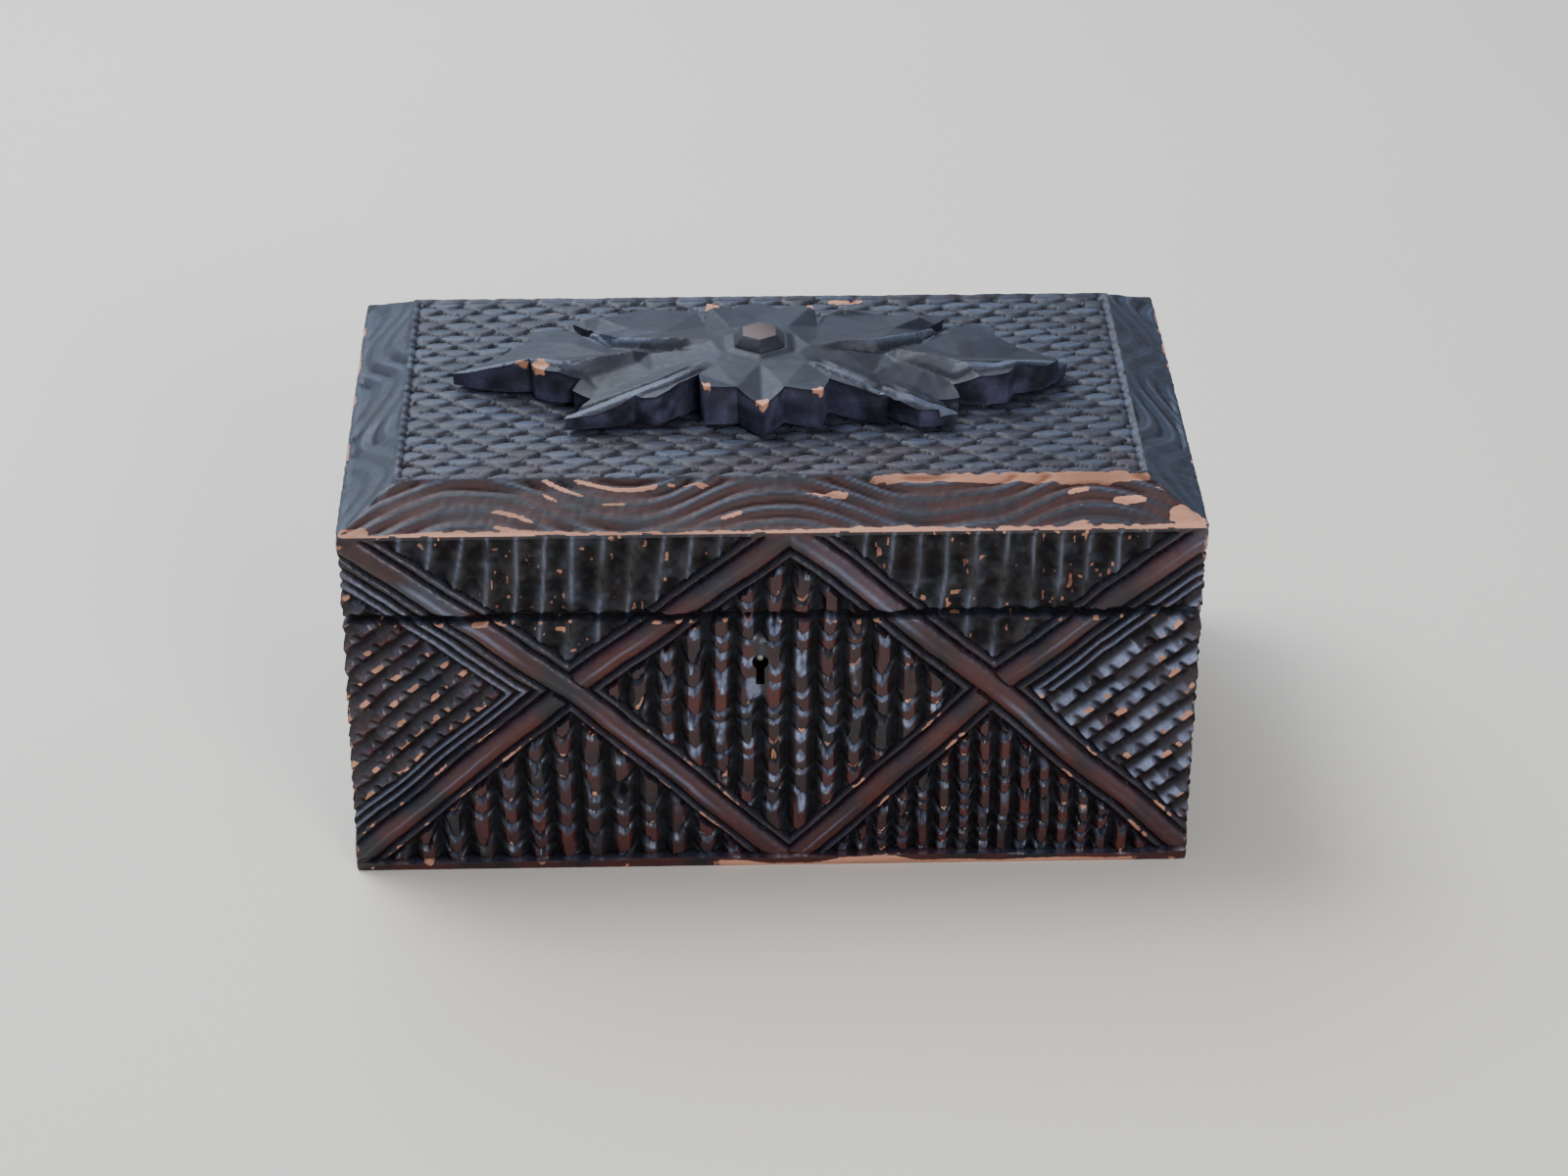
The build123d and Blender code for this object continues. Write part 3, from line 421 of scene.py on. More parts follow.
def carve(node, name, surface, axis, far, looks, materials):
    """A copy of a CAD node with everything outside a carved surface cut away.

    The cutter is the block between the surface, a grid of points, and the flat end at far
    along the axis. The first material is the uncut wood's and the second the carving's.
    """
    rows, cols = surface.shape[:2]
    index = np.arange(rows * cols).reshape(rows, cols)
    ring = np.concatenate([index[:-1, 0], index[-1, :-1], index[:0:-1, -1], index[0, :0:-1]])
    near = surface.reshape(-1, 3)
    outer = near[ring].copy()
    outer[:, axis] = far
    quads = np.stack([index[:-1, :-1], index[1:, :-1], index[1:, 1:], index[:-1, 1:]], -1)
    faces = quads.reshape(-1, 4).tolist()
    count, total = len(near), len(ring)
    for i in range(total):
        j = (i + 1) % total
        faces.append([int(ring[j]), int(ring[i]), count + i, count + j])
    faces.append([count + i for i in reversed(range(total))])
    cutter = mesh_object("cutter", np.vstack([near, outer]) * MM, faces)
    blank = np.zeros(total)
    for attribute, values in zip(LOOK_NAMES, looks):
        set_values(cutter.data, attribute, np.concatenate([values.reshape(-1), blank]))
    set_materials(cutter.data, materials[1])
    source = nodes[node].data.copy()
    with edited(source) as work:
        bmesh.ops.remove_doubles(work, verts=work.verts, dist=WELD)
    set_materials(source, *materials)
    for attribute in LOOK_NAMES:
        set_values(source, attribute, np.zeros(len(source.vertices)))
    blankwood = placed("blank", source)
    cut = blankwood.modifiers.new("carve", "BOOLEAN")
    cut.object = cutter
    cut.operation = "DIFFERENCE"
    cut.solver = "MANIFOLD"
    held = blankwood.evaluated_get(bpy.context.evaluated_depsgraph_get())
    mesh = bpy.data.meshes.new_from_object(held)
    mesh.name = name
    if not len(mesh.polygons):
        raise RuntimeError(f"{name}: the carving cut nothing")
    made = placed(name, mesh)
    bpy.data.objects.remove(cutter)
    bpy.data.objects.remove(blankwood)
    dress(made)
    return made


def dress(made, angle=32):
    """Smooth shading between cuts sharper than the angle, and painted sky reflection on what faces
    up.
    """
    mesh = made.data
    if "custom_normal" in mesh.attributes:
        mesh.attributes.remove(mesh.attributes["custom_normal"])
    mesh.shade_smooth()
    mesh.set_sharp_from_angle(angle=math.radians(angle))
    normals = np.zeros(len(mesh.vertices) * 3, np.float32)
    mesh.vertex_normals.foreach_get("vector", normals)
    upward = np.clip(normals.reshape(-1, 3)[:, 2], 0, 1)
    # Painted sky reflection: its share where the point faces up
    set_values(mesh, "sky_reflection", upward * get_values(mesh, "reflection_share"))


CUTTER_REACH, LID_CUTTER_REACH = 6.0, 4.0  # how far a cutter goes past the wood
# Share of painted sky reflection that the side boards take where they face up
SIDE_REFLECTION = 0.8


def carve_side(node, layout, origin, right, inward, step, materials):
    """Carve the outer face of one upright board. Right and inward are axes seen from outside."""
    bottom, top = (corner.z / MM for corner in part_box(node))
    half = layout["half"] + MARGIN
    s = np.arange(-half, half + step / 2, step)
    z = np.arange(bottom - MARGIN, top + MARGIN + step / 2, step)
    s, z = np.meshgrid(s, z, indexing="ij")
    depth, *looks = panel(s, z, layout)
    origin, right, inward = np.array(origin), np.array(right), np.array(inward)
    points = origin + s[..., None] * right + depth[..., None] * inward
    points[..., 2] = z
    axis = int(np.argmax(abs(inward)))
    far = origin[axis] - CUTTER_REACH * inward[axis]
    looks.append(np.full(s.shape, SIDE_REFLECTION))
    return carve(node, f"carved_{node}", points, axis, far, looks, materials)


# ---- materials
def srgb(red, green, blue):
    """Linear colour from 8-bit display values."""
    out = []
    for part in (red, green, blue):
        part = part / 255
        out.append(part / 12.92 if part <= 0.04045 else ((part + 0.055) / 1.055) ** 2.4)
    return (*out, 1.0)


def new_material(name):
    made = bpy.data.materials.new(name)
    made.use_nodes = True
    tree = made.node_tree
    return made, tree, tree.nodes["Principled BSDF"]


def add(tree, kind, **settings):
    node = tree.nodes.new(kind)
    for key, value in settings.items():
        setattr(node, key, value)
    return node


def link(tree, source, target):
    tree.links.new(source, target)


def feed(tree, sockets, values):
    """Link each value that is another node's output, and set each plain one."""
    for socket, value in zip(sockets, values):
        if isinstance(value, bpy.types.NodeSocket):
            link(tree, value, socket)
        else:
            socket.default_value = value


def mix(tree, factor, first, second):
    node = add(tree, "ShaderNodeMix", data_type="RGBA")
    feed(tree, (node.inputs[0], node.inputs[6], node.inputs[7]), (factor, first, second))
    return node.outputs[2]


def calc(tree, operation, *values, clamp=False):
    node = add(tree, "ShaderNodeMath", operation=operation, use_clamp=clamp)
    feed(tree, node.inputs, values)
    return node.outputs[0]


def grain(tree, scale, detail=3.0, stretch=(1, 1, 1)):
    """Noise in the part's own coordinates, from 0 to 1."""
    place = add(tree, "ShaderNodeTexCoord")
    turn = add(tree, "ShaderNodeMapping")
    turn.inputs["Scale"].default_value = stretch
    texture = add(tree, "ShaderNodeTexNoise")
    texture.inputs["Scale"].default_value = scale
    texture.inputs["Detail"].default_value = detail
    link(tree, place.outputs["Object"], turn.inputs["Vector"])
    link(tree, turn.outputs["Vector"], texture.inputs["Vector"])
    return texture.outputs["Fac"]


def steps(tree, value, start, end):
    node = add(tree, "ShaderNodeMapRange", interpolation_type="SMOOTHSTEP")
    node.inputs["From Min"].default_value = start
    node.inputs["From Max"].default_value = end
    link(tree, value, node.inputs["Value"])
    return node.outputs["Result"]


def add_bump(tree, shader, height, strength, distance):
    bump = add(tree, "ShaderNodeBump")
    bump.inputs["Strength"].default_value = strength
    bump.inputs["Distance"].default_value = distance
    link(tree, height, bump.inputs["Height"])
    link(tree, bump.outputs["Normal"], shader.inputs["Normal"])


def attribute(tree, name):
    return add(tree, "ShaderNodeAttribute", attribute_name=name).outputs["Fac"]


# Near-black for specks of dirt and for the painted shade in deep cuts
DIRT_AND_SHADE = (0.0012, 0.0011, 0.0014, 1)
BARE = srgb(196, 138, 110)
BARE_DARK = (*(0.55 * part for part in BARE[:3]), 1)
# Colour of the painted highlights
HIGHLIGHT_BLUE = srgb(132, 142, 170)


def stained_wood(name, stain, shown, reflection_colour, roughness, stretch):
    """Worn black stain over red-brown wood, a painted grey sky reflection where it faces up,
    painted highlights, painted shade in deep cuts, and bare chips.
    """
    made, tree, shader = new_material(name)
    patch = grain(tree, 70, 4)
    speck = grain(tree, 900, 2)
    streak = grain(tree, 240, 4, stretch)
    patchy = steps(tree, patch, 0.3, 0.62)
    brown = calc(tree, "MULTIPLY", attribute(tree, "brown"), patchy, clamp=True)
    colour = mix(tree, brown, stain, shown)
    # Painted sky reflection: a grey-blue colour in streaks on what faces up
    streaky = steps(tree, streak, 0.15, 0.6)
    sky_reflection = calc(tree, "MULTIPLY", attribute(tree, "sky_reflection"), streaky, clamp=True)
    colour = mix(tree, sky_reflection, colour, reflection_colour)
    # Painted highlight
    colour = mix(tree, attribute(tree, "highlight"), colour, HIGHLIGHT_BLUE)
    soil = steps(tree, speck, 0.25, 0.75)
    colour = mix(tree, soil, mix(tree, 0.3, colour, DIRT_AND_SHADE), colour)
    # Painted shade in deep cuts: darker, rougher and less shiny
    shade_in_cuts = attribute(tree, "shade_in_cuts")
    colour = mix(tree, calc(tree, "MULTIPLY", shade_in_cuts, 0.85), colour, DIRT_AND_SHADE)
    wood = mix(tree, steps(tree, streak, 0.3, 0.7), BARE, BARE_DARK)
    edge = calc(tree, "MULTIPLY_ADD", speck, 0.7, attribute(tree, "worn"))
    worn = steps(tree, edge, 0.72, 0.92)
    worn = calc(tree, "MULTIPLY", worn, calc(tree, "MULTIPLY_ADD", shade_in_cuts, -0.8, 1.0))
    colour = mix(tree, worn, colour, wood)
    link(tree, colour, shader.inputs["Base Color"])
    rough = calc(tree, "MULTIPLY_ADD", speck, 0.25, roughness - 0.12)
    rough = calc(tree, "MULTIPLY_ADD", worn, 0.25, rough, clamp=True)
    rough = calc(tree, "MULTIPLY_ADD", shade_in_cuts, 0.4, rough, clamp=True)
    link(tree, rough, shader.inputs["Roughness"])
    shine = calc(tree, "MULTIPLY_ADD", shade_in_cuts, -0.4, 0.5)
    link(tree, shine, shader.inputs["Specular IOR Level"])
    add_bump(tree, shader, grain(tree, 420, 4, stretch), 0.35, 0.3 * MM)
    return made


def outer_edge(tree):
    """1 near the box's outer faces, with a ragged limit, and 0 further in."""
    place = add(tree, "ShaderNodeTexCoord")
    split = add(tree, "ShaderNodeSeparateXYZ")
    link(tree, place.outputs["Object"], split.inputs["Vector"])
    across, along = (calc(tree, "ABSOLUTE", split.outputs[axis]) for axis in ("X", "Y"))
    across = calc(tree, "SUBTRACT", across, HALF_WIDTH * MM)
    along = calc(tree, "SUBTRACT", along, HALF_DEPTH * MM)
    reach = calc(tree, "MAXIMUM", across, along)
    ragged = calc(tree, "MULTIPLY", grain(tree, 250, 3), 2 * MM)
    return steps(tree, calc(tree, "ADD", reach, ragged), -3.4 * MM, -2.6 * MM)


def simple_wood(name, light, dark, roughness, stretch):
    """Plain wood, where the black stain has run a little over the box's outer edges; the same
    darkening paints the shade in the seam under the lid.
    """
    made, tree, shader = new_material(name)
    streak = grain(tree, 520, 6, stretch)
    colour = mix(tree, steps(tree, streak, 0.35, 0.68), light, dark)
    # Darker near the outer faces: stain run over the edges, and painted shade in the seam
    colour = mix(tree, outer_edge(tree), colour, srgb(14, 11, 14))
    link(tree, colour, shader.inputs["Base Color"])
    shader.inputs["Roughness"].default_value = roughness
    add_bump(tree, shader, streak, 0.25, 0.2 * MM)
    return made


def metal(name, clean, tarnished, roughness):
    made, tree, shader = new_material(name)
    colour = mix(tree, steps(tree, grain(tree, 500, 5), 0.3, 0.75), clean, tarnished)
    link(tree, colour, shader.inputs["Base Color"])
    shader.inputs["Metallic"].default_value = 1.0
    wear = calc(tree, "MULTIPLY_ADD", grain(tree, 500, 3), 0.25, roughness - 0.1)
    link(tree, wear, shader.inputs["Roughness"])
    return made


ALONG_X = (0.07, 1, 1)
ALONG_Y = (1, 0.07, 1)
# Stained looks: stain, wood that shows through it, colour of the painted sky reflection, and
# roughness
FRONT_LOOK = (srgb(11, 9, 17), srgb(76, 24, 18), srgb(46, 50, 68), 0.38)
TOP_LOOK = (srgb(22, 19, 26), srgb(62, 25, 19), srgb(41, 48, 64), 0.55)
# On the leaf the second colour is a lighter blue-grey: painted light on its walls
LEAF_LOOK = (srgb(12, 14, 25), srgb(80, 79, 104), srgb(30, 38, 54), 0.55)
BOSS_LOOK = (srgb(16, 20, 34), srgb(22, 24, 36), srgb(40, 47, 62), 0.5)
BOSS_TOP_LOOK = (srgb(60, 48, 46), srgb(88, 68, 60), srgb(40, 47, 62), 0.55)
carved_x = stained_wood("ebonised_front", *FRONT_LOOK, ALONG_X)
carved_y = stained_wood("ebonised_side", *FRONT_LOOK, ALONG_Y)
slate = stained_wood("ebonised_top", *TOP_LOOK, ALONG_X)
leaf_look = stained_wood("ebonised_leaf", *LEAF_LOOK, ALONG_X)
boss_look = stained_wood("ebonised_boss", *BOSS_LOOK, ALONG_X)
boss_top_look = stained_wood("rubbed_boss", *BOSS_TOP_LOOK, ALONG_X)
INNER_LOOK = (srgb(104, 68, 46), srgb(76, 48, 33), 0.7)
inner_x = simple_wood("inner_wood_x", *INNER_LOOK, ALONG_X)
inner_y = simple_wood("inner_wood_y", *INNER_LOOK, ALONG_Y)
under_wood = simple_wood("bottom_wood", srgb(124, 88, 60), srgb(94, 64, 44), 0.75, ALONG_X)
iron = metal("lock_steel", srgb(150, 146, 140), srgb(74, 62, 54), 0.45)
brass = metal("brass", srgb(150, 120, 72), srgb(92, 70, 44), 0.42)

# ---- carved sides of the base and lid
def put(piece, node, body):
    """A carved piece takes its CAD node's place."""
    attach(piece, body)
    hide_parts(node)


# Each side's layout, its middle, its right and inward axes, its grid's step, and its materials
SIDES = {
    "front": (FRONT, (0, -HALF_DEPTH, 0), (1, 0, 0), (0, 1, 0), 0.4, (inner_x, carved_x)),
    "back": (BACK, (0, HALF_DEPTH, 0), (-1, 0, 0), (0, -1, 0), 0.5, (inner_x, carved_x)),
    "left": (LEFT, (-HALF_WIDTH, 0, 0), (0, -1, 0), (1, 0, 0), 0.45, (inner_y, carved_y)),
    "right": (RIGHT, (HALF_WIDTH, 0, 0), (0, 1, 0), (-1, 0, 0), 0.45, (inner_y, carved_y)),
}
for side, settings in SIDES.items():
    for node, body in ((f"{side}_board", "base"), (f"lid_{side}_rail", "lid")):
        piece = carve_side(node, *settings)
        if node == "front_board":
            # The keyhole's wall is stained too
            for face in piece.data.polygons:
                x, y, z = face.center / MM
                if math.hypot(x - KEYHOLE_X, z - KEYHOLE_Z) < 6 and y < KEYHOLE_BACK:
                    face.material_index = 1
        put(piece, node, body)


# ---- lid's bevelled and scaled top
SCALE_WIDTH = 8.8
SCALE_ROW = 3.7
SCALE_HALF = 3.05
WAVE_HEIGHT = 0.36
LID_GRID = 0.5
# Patches where handling has worn the lid bare: place, half sizes and strength
BARE_PATCHES = (
    (95, -56, 6, 3.4, 0.9),
    (-96, -58, 5, 2.5, 0.8),
    (82, -52, 7, 1.3, 0.6),
    (-37, -52, 5, 0.8, 0.6),
    (14, -50, 10, 0.8, 0.6),
    (-20, -47.6, 9, 0.7, 0.5),
    (21, 43, 6, 1.6, 0.8),
    (-52, 38, 4, 1.0, 0.5),
)


def scales(x, y, seed):
    """Soft lens-shaped scales in staggered rows.

    Gives 1 in the middle of a scale and 0 between them, where a point is from a scale's front
    to its back, and a random tone for each scale.
    """
    x = x + 0.7 * noise(x, y, 12, seed)
    y = y + 0.5 * noise(x, y, 10, seed + 1)
    best, slope, tone = (np.zeros(x.shape) for _ in range(3))
    for extra in (-1, 0, 1, 2):
        row = np.floor(y / SCALE_ROW) + extra
        u = x / SCALE_WIDTH + (row % 2) * 0.5 + 0.12 * (cell(row, 1, seed + 4) - 0.5)
        centre = np.floor(u + 0.5)
        dx = (u - centre) * 2 + 0.2 * (cell(centre, row, seed + 2) - 0.5)
        dy = y - row * SCALE_ROW - 0.9 * (cell(centre, row, seed + 3) - 0.5)
        half = SCALE_HALF * np.clip(1 - dx * dx, 0.02, 1)
        inside = 1 - abs(dy) / half
        tone = np.where(inside > best, cell(centre, row, seed + 5), tone)
        slope = np.where(inside > best, dy / half, slope)
        best = np.maximum(best, inside)
    return best, slope, tone


def bevel_waves(along, up, period, crest, spacing, seed):
    """Wavy reeds that run along a bevel. Up goes from 0 at the arris to 1 at the top."""
    wave = WAVE_HEIGHT * np.cos(2 * math.pi * (along - crest) / period)
    wave = wave + 0.05 * noise(along, up * 9, 14, seed)
    phase = (up - wave) / spacing + 0.2 * noise(along, up * 5, 11, seed + 1)
    f = phase - np.floor(phase)
    return 1 - abs(2 * f - 1) ** 1.3


def carve_lid():
    """The lid's board: a flat top with scales, and four bevels with waves."""
    half_step = LID_GRID / 2
    x = np.arange(-HALF_WIDTH - MARGIN, HALF_WIDTH + MARGIN + half_step, LID_GRID)
    y = np.arange(-HALF_DEPTH - MARGIN, HALF_DEPTH + MARGIN + half_step, LID_GRID)
    x, y = np.meshgrid(x, y, indexing="ij")
    from_front, from_back = y + HALF_DEPTH, HALF_DEPTH - y
    from_long = np.minimum(from_front, from_back)
    from_end = np.minimum(x + HALF_WIDTH, HALF_WIDTH - x)
    inset = np.minimum(from_long, from_end)
    rise = (LID_TOP - BOX_TOP) / BEVEL_INSET
    plain_z = np.minimum(LID_TOP, BOX_TOP + rise * inset)
    on_bevel = inset < BEVEL_INSET
    up = inset / BEVEL_INSET
    from_top = inset - BEVEL_INSET
    lengthways = inset == from_long
    front_face = from_front <= inset + 1e-6
    on_front = on_bevel & front_face

    # Waves on the bevels, fewer and wider on the two ends
    along = np.where(lengthways, x, y)
    period = np.where(lengthways, 72.0, 44.0)
    crest = np.where(lengthways, -70.0, 6.0)
    reed = bevel_waves(along, up, period, crest, np.where(lengthways, 0.26, 0.42), 7)
    few = ramp(0.0, 0.5, noise(x, y, 16, 18))
    strong = 0.15 + 0.85 * ramp(-0.45, 0.35, noise(x * 0.6, y * 1.6, 12, 20))
    bevel_depth = 0.2 + np.where(lengthways, 1.05 * strong, 0.35 + 0.7 * few) * (1 - reed)
    bevel_depth = bevel_depth * ramp(0.06, 0.18, up) * ramp(1.0, 0.93, up) + 0.2

    # Scales on the top, with a fine line round them
    lens, slope, tone = scales(x, y, 5)
    top_depth = 0.3 + 0.55 * ramp(0.65, 0.0, lens) + 0.4 * ramp(-0.6, 1.0, slope) + 0.15 * tone
    top_depth = top_depth * ramp(-0.5, 2.2, from_top) + 0.45 * groove(from_top - 1.6, 0.7)

    # Mitres, chipped edges and the two rounded back corners
    depth = np.where(on_bevel, bevel_depth, top_depth)
    mitre = abs(from_long - from_end)
    depth = depth + 0.25 * groove(mitre, 0.8) * on_bevel + 0.06 * noise(x, y, 1.1, 9)
    arris = groove(from_top, 1.0) * 0.3
    chips = ramp(0.3, 0.8, noise(x, y, 2.4, 12) + 0.4 * noise(x, y, 8, 13))
    depth = depth + arris * (0.4 + 0.8 * chips) + 0.5 * chips * groove(inset, 1.6)
    depth = depth + 0.3 * np.clip(7 - from_back - from_end, 0, 7)

    # Bare wood: the front bevel's lower and upper edges, its reeds, patches, and the other edges
    broken = 0.5 * noise(x, y * 2.2, 1.8, 14) + 0.2 * noise(x, y, 6, 15)
    strip = 0.095 + 0.035 * noise(x, 0, 24, 22) + 0.025 * ramp(-20, 60, x)
    lower_edge = ramp(0.04, -0.03, up - strip + 0.07 * broken) * front_face
    rubbed_reed = 0.8 * on_front * ramp(0.55, 1.0, reed)
    rubbed_reed = rubbed_reed * ramp(0.3, 0.7, noise(x * 0.3, y * 0.5, 3, 21))
    rubbed_top = 0.3 * ramp(-78, -66, x) * ramp(5, -12, x) + ramp(14, 30, x) * ramp(90, 84, x)
    upper_edge = groove(from_top + 0.7, 0.7 + 0.9 * rubbed_top) * rubbed_top * front_face
    upper_edge = ramp(0.25, 0.6, upper_edge + 0.5 * broken * rubbed_top) * (rubbed_top > 0.2)
    worn = np.maximum(np.maximum(lower_edge, rubbed_reed), upper_edge)
    for cx, cy, rx, ry, strength in BARE_PATCHES:
        spot = np.clip(1 - ((x - cx) / rx) ** 2 - ((y - cy) / ry) ** 2, 0, 1)
        worn = np.maximum(worn, ramp(0.45, 0.8, spot * strength * 1.5 + 0.6 * broken))
    other_edges = ramp(0.12, 0.02, up) * (~front_face)
    worn = np.maximum(worn, other_edges * ramp(0.25, 0.6, noise(x, y, 4, 16)) * 0.9)

    # Brown shows on the front bevel and on the scales nearest the front
    near_front = ramp(-18, -44, y) * (~on_bevel)
    brown = np.where(on_bevel, front_face * ramp(0.95, 0.6, reed), 0.15)
    brown = np.maximum(brown, near_front * ramp(0.2, 0.7, lens))
    # Painted sky reflection: on the front bevel's reed crests, weaker near the front, strongest in
    # the middles of the scales
    reflection_share = np.where(on_front, 0.02 + 0.9 * strong * ramp(0.84, 0.98, reed), 1.0)
    reflection_share = reflection_share * (1 - 0.65 * near_front * ramp(-0.3, 0.5, noise(x, y, 8, 17)))
    reflection_share = reflection_share * np.where(on_bevel, 1, 0.3 + (0.35 + 0.35 * tone) * ramp(0.1, 0.6, lens))
    # Painted highlight on the bevels' reed crests and in the middles of the scales
    highlight = np.where(front_face, 0.2 * strong, 0.05 + 0.16 * few) * ramp(0.85, 1.0, reed)
    highlight = np.where(on_bevel, highlight, 0.16 * tone * ramp(0.3, 0.7, lens))
    # Painted shade in the bevels' reed troughs and in the deepest parts of the top
    trough = ramp(0.45, 0.1, reed) * ramp(0.1, 0.2, up)
    shade_in_cuts = np.where(on_front, 0.6 * strong, 0.1 + 0.4 * few) * trough
    shade_in_cuts = np.where(on_bevel, shade_in_cuts, ramp(0.9, 1.7, depth))

    surface = np.stack([x, y, plain_z - depth], -1)
    looks = (worn, brown, highlight, shade_in_cuts, reflection_share)
    far = LID_TOP + LID_CUTTER_REACH
    return carve("lid_top_board", "carved_lid_top", surface, 2, far, looks, (inner_x, slate))


put(carve_lid(), "lid_top_board", "lid")

# ---- leaf ornament
BARE_CORNERS = (
    # place and radius of the rubbed corners
    (-15.2, -22.2, 110.6, 2.1),
    (11.8, -25.0, 110.6, 2.2),
    (-1.8, -28.2, 108.8, 2.4),
    (-13.6, 26.8, 107.0, 2.6),
    (11.5, 25.6, 107.0, 1.8),
    (-54.0, -7.6, 108.8, 2.6),
    (-58.0, -4.4, 108.0, 1.8),
)
LEAF_TOP = 110.95
LEAF_GRID = 0.48
# The upper edge's plan position and height, leaf by leaf, in millimetres
OUTLINE = [
    # front right leaf
    (14.2, -17, 109.6), (22, -21.5, 109), (27.8, -23.4, 107.6), (27, -19, 106.4),
    (35, -24.8, 105), (44.2, -23.8, 102.6), (40, -18.2, 104.2), (45, -17.6, 104.4),
    (43.6, -13, 105.4),
    # right leaf
    (50, -14.2, 108.2), (57, -13, 108.6), (59, -8.6, 108.4), (66.3, -6.4, 106.6),
    (72.4, 0.8, 103.2), (71.5, 3, 102.8), (61.5, 10, 102.8), (56, 16.5, 103),
    (56.2, 21.6, 102.8), (50.8, 23.3, 102.8), (46.5, 20.8, 103.4), (41, 17.6, 104.2),
    # back right leaf
    (39.4, 19, 103.6), (41.6, 22, 103.6), (44.2, 26, 103), (44.6, 29.4, 102.2),
    (38.6, 28, 103.2), (29, 27.4, 103.6), (15.2, 25.8, 104.6), (12.6, 16, 106.2),
    # back lobe
    (11.8, 26.2, 107), (3.5, 25.8, 106.4), (-1.8, 31, 105.4), (-7.4, 26, 106.4),
    (-14, 27.8, 107),
    # back left leaf
    (-14.2, 17.6, 106.2), (-16.2, 27.6, 105.2), (-28.2, 30.4, 104.2), (-44.2, 28.8, 102.4),
    (-46.9, 27.2, 101.9), (-43.8, 22.6, 102.8), (-41.2, 18.8, 103.6),
    # left leaf
    (-43.6, 16.6, 104.2), (-47.7, 20.3, 103.6), (-52.1, 22.2, 103.2), (-57.8, 20.9, 102.8),
    (-57, 16, 103.2), (-64, 8, 103.2), (-75.2, -0.6, 102.6), (-66, -4.4, 106.2),
    (-56.4, -5, 108.7), (-55.2, -8.4, 108.8), (-49.5, -10.8, 108.8), (-44.2, -10.4, 106.6),
    # front left leaf
    (-46.2, -13.4, 105.2), (-41.8, -16.6, 104.6), (-48, -24.2, 102.6), (-38, -23.4, 105),
    (-31.4, -20.8, 107), (-26.6, -22.6, 108), (-21.2, -18.2, 109.3), (-16.4, -14.5, 109.8),
    # front lobe
    (-15.4, -22.4, 110.8), (-7.6, -22, 110.3), (-1.8, -28.6, 108.6), (3.6, -22, 110.2),
    (12, -25.2, 110.8),
]


def line_distance(x, y, points):
    """Distance from a polyline, place along it from 0 to 1, and side: positive is its left."""
    best = np.full(np.shape(x), 1e9)
    place, side = (np.zeros(np.shape(x)) for _ in range(2))
    count = len(points) - 1
    for i in range(count):
        (ax, ay), (bx, by) = points[i], points[i + 1]
        ux, uy = bx - ax, by - ay
        t = np.clip(((x - ax) * ux + (y - ay) * uy) / (ux * ux + uy * uy), 0, 1)
        dx, dy = x - ax - t * ux, y - ay - t * uy
        d = np.hypot(dx, dy)
        closer = d < best
        best = np.where(closer, d, best)
        place = np.where(closer, (i + t) / count, place)
        side = np.where(closer, np.sign(ux * dy - uy * dx), side)
    return best, place, side


# Ridges, foot lines and hollows of the leaves, with heights, from the middle outwards
CREASES = [
    # back right leaf
    [(10, -1.5, 110.6), (18, -0.2, 110.5), (26, 1.5, 109.8), (36, 9.5, 107.2), (42, 19, 104.8)],
    [(18, -3, 109.6), (28, -0.8, 107.7), (37, 6, 106.2), (43.5, 14, 104.9)],
    [(12, 4, 109.4), (22, 7.5, 108), (31, 14, 106.8), (38, 22, 105.6)],
    # right leaf
    [
        (31, -2.4, 109.8), (38, -5.6, 109.7), (45, -8.2, 109.3), (55, -7, 108.4),
        (64, -2.4, 106), (70, 1.4, 103.4),
    ],
    [(30.5, -5.4, 107.8), (37, -8.6, 106.9), (43, -11.8, 105.8)],
    [(36, 0.2, 107.6), (46, -0.5, 106.2), (57, 1, 104.8), (65, 3, 103.6)],
    [(46, 7, 106), (53, 12, 104.4)],
    # front right leaf
    [(9, -9.5, 110.5), (14.5, -13.4, 110.2), (22, -18.4, 109.3)],
    [(26.5, -16.6, 107.4), (33, -20, 106.6), (40, -21.8, 104.4)],
    [(16, -7.5, 109.2), (25, -11, 107.5), (34, -14.6, 106), (40, -15.4, 105)],
    # back left leaf
    [(-13.5, 1.5, 110.6), (-20, 2.2, 110.4), (-27, 3.2, 109.8), (-36, 9, 107), (-44.5, 22, 103.6)],
    [(-17, -0.6, 109.6), (-28, 0.4, 107.8), (-37, 5.4, 106.4), (-45, 15, 104.9)],
    [(-15, 7, 109.2), (-24, 10.5, 108.2), (-33, 15, 106.9), (-40, 22.6, 105.8)],
    # left leaf
    [
        (-32, -2.2, 109.7), (-40, -4.8, 109.5), (-48, -6, 109), (-58, -1.8, 107.2),
        (-66, -1.4, 105.2),
    ],
    [(-31, -5, 107.9), (-37.5, -7.8, 106.9), (-42, -9.4, 106.3)],
    [(-38, 1, 107.4), (-48, 1.6, 106), (-58, 2.6, 104.8), (-66, 1.5, 103.8)],
    [(-46, 9, 106), (-53, 13, 104.4)],
    # front left leaf
    [
        (-12.5, -9, 110.4), (-16.4, -12, 110.2), (-23.5, -16.4, 109.2), (-31, -19, 107.6),
        (-39, -21.8, 105.2),
    ],
    [(-18, -6.5, 109.2), (-27, -9.4, 107.6), (-35, -12.8, 106), (-40.5, -13.6, 105.2)],
    # lobes, and the flat round the boss
    [(-9, 9.5, 109.9), (-11, 18, 108.2)],
    [(-1.8, 10, 109.4), (-1.8, 20, 107)],
    [(5.4, 9.5, 109.9), (8.4, 18, 108.2)],
    [(-1.8, -10, 110.2), (-1.8, -20, 109.2)],
    [
        (-11, -5, 110.4), (-10, 4, 110.4), (-1.8, 8.6, 110.4), (7, 4, 110.4),
        (7.4, -5, 110.4), (-1.8, -8.8, 110.4),
    ],
]
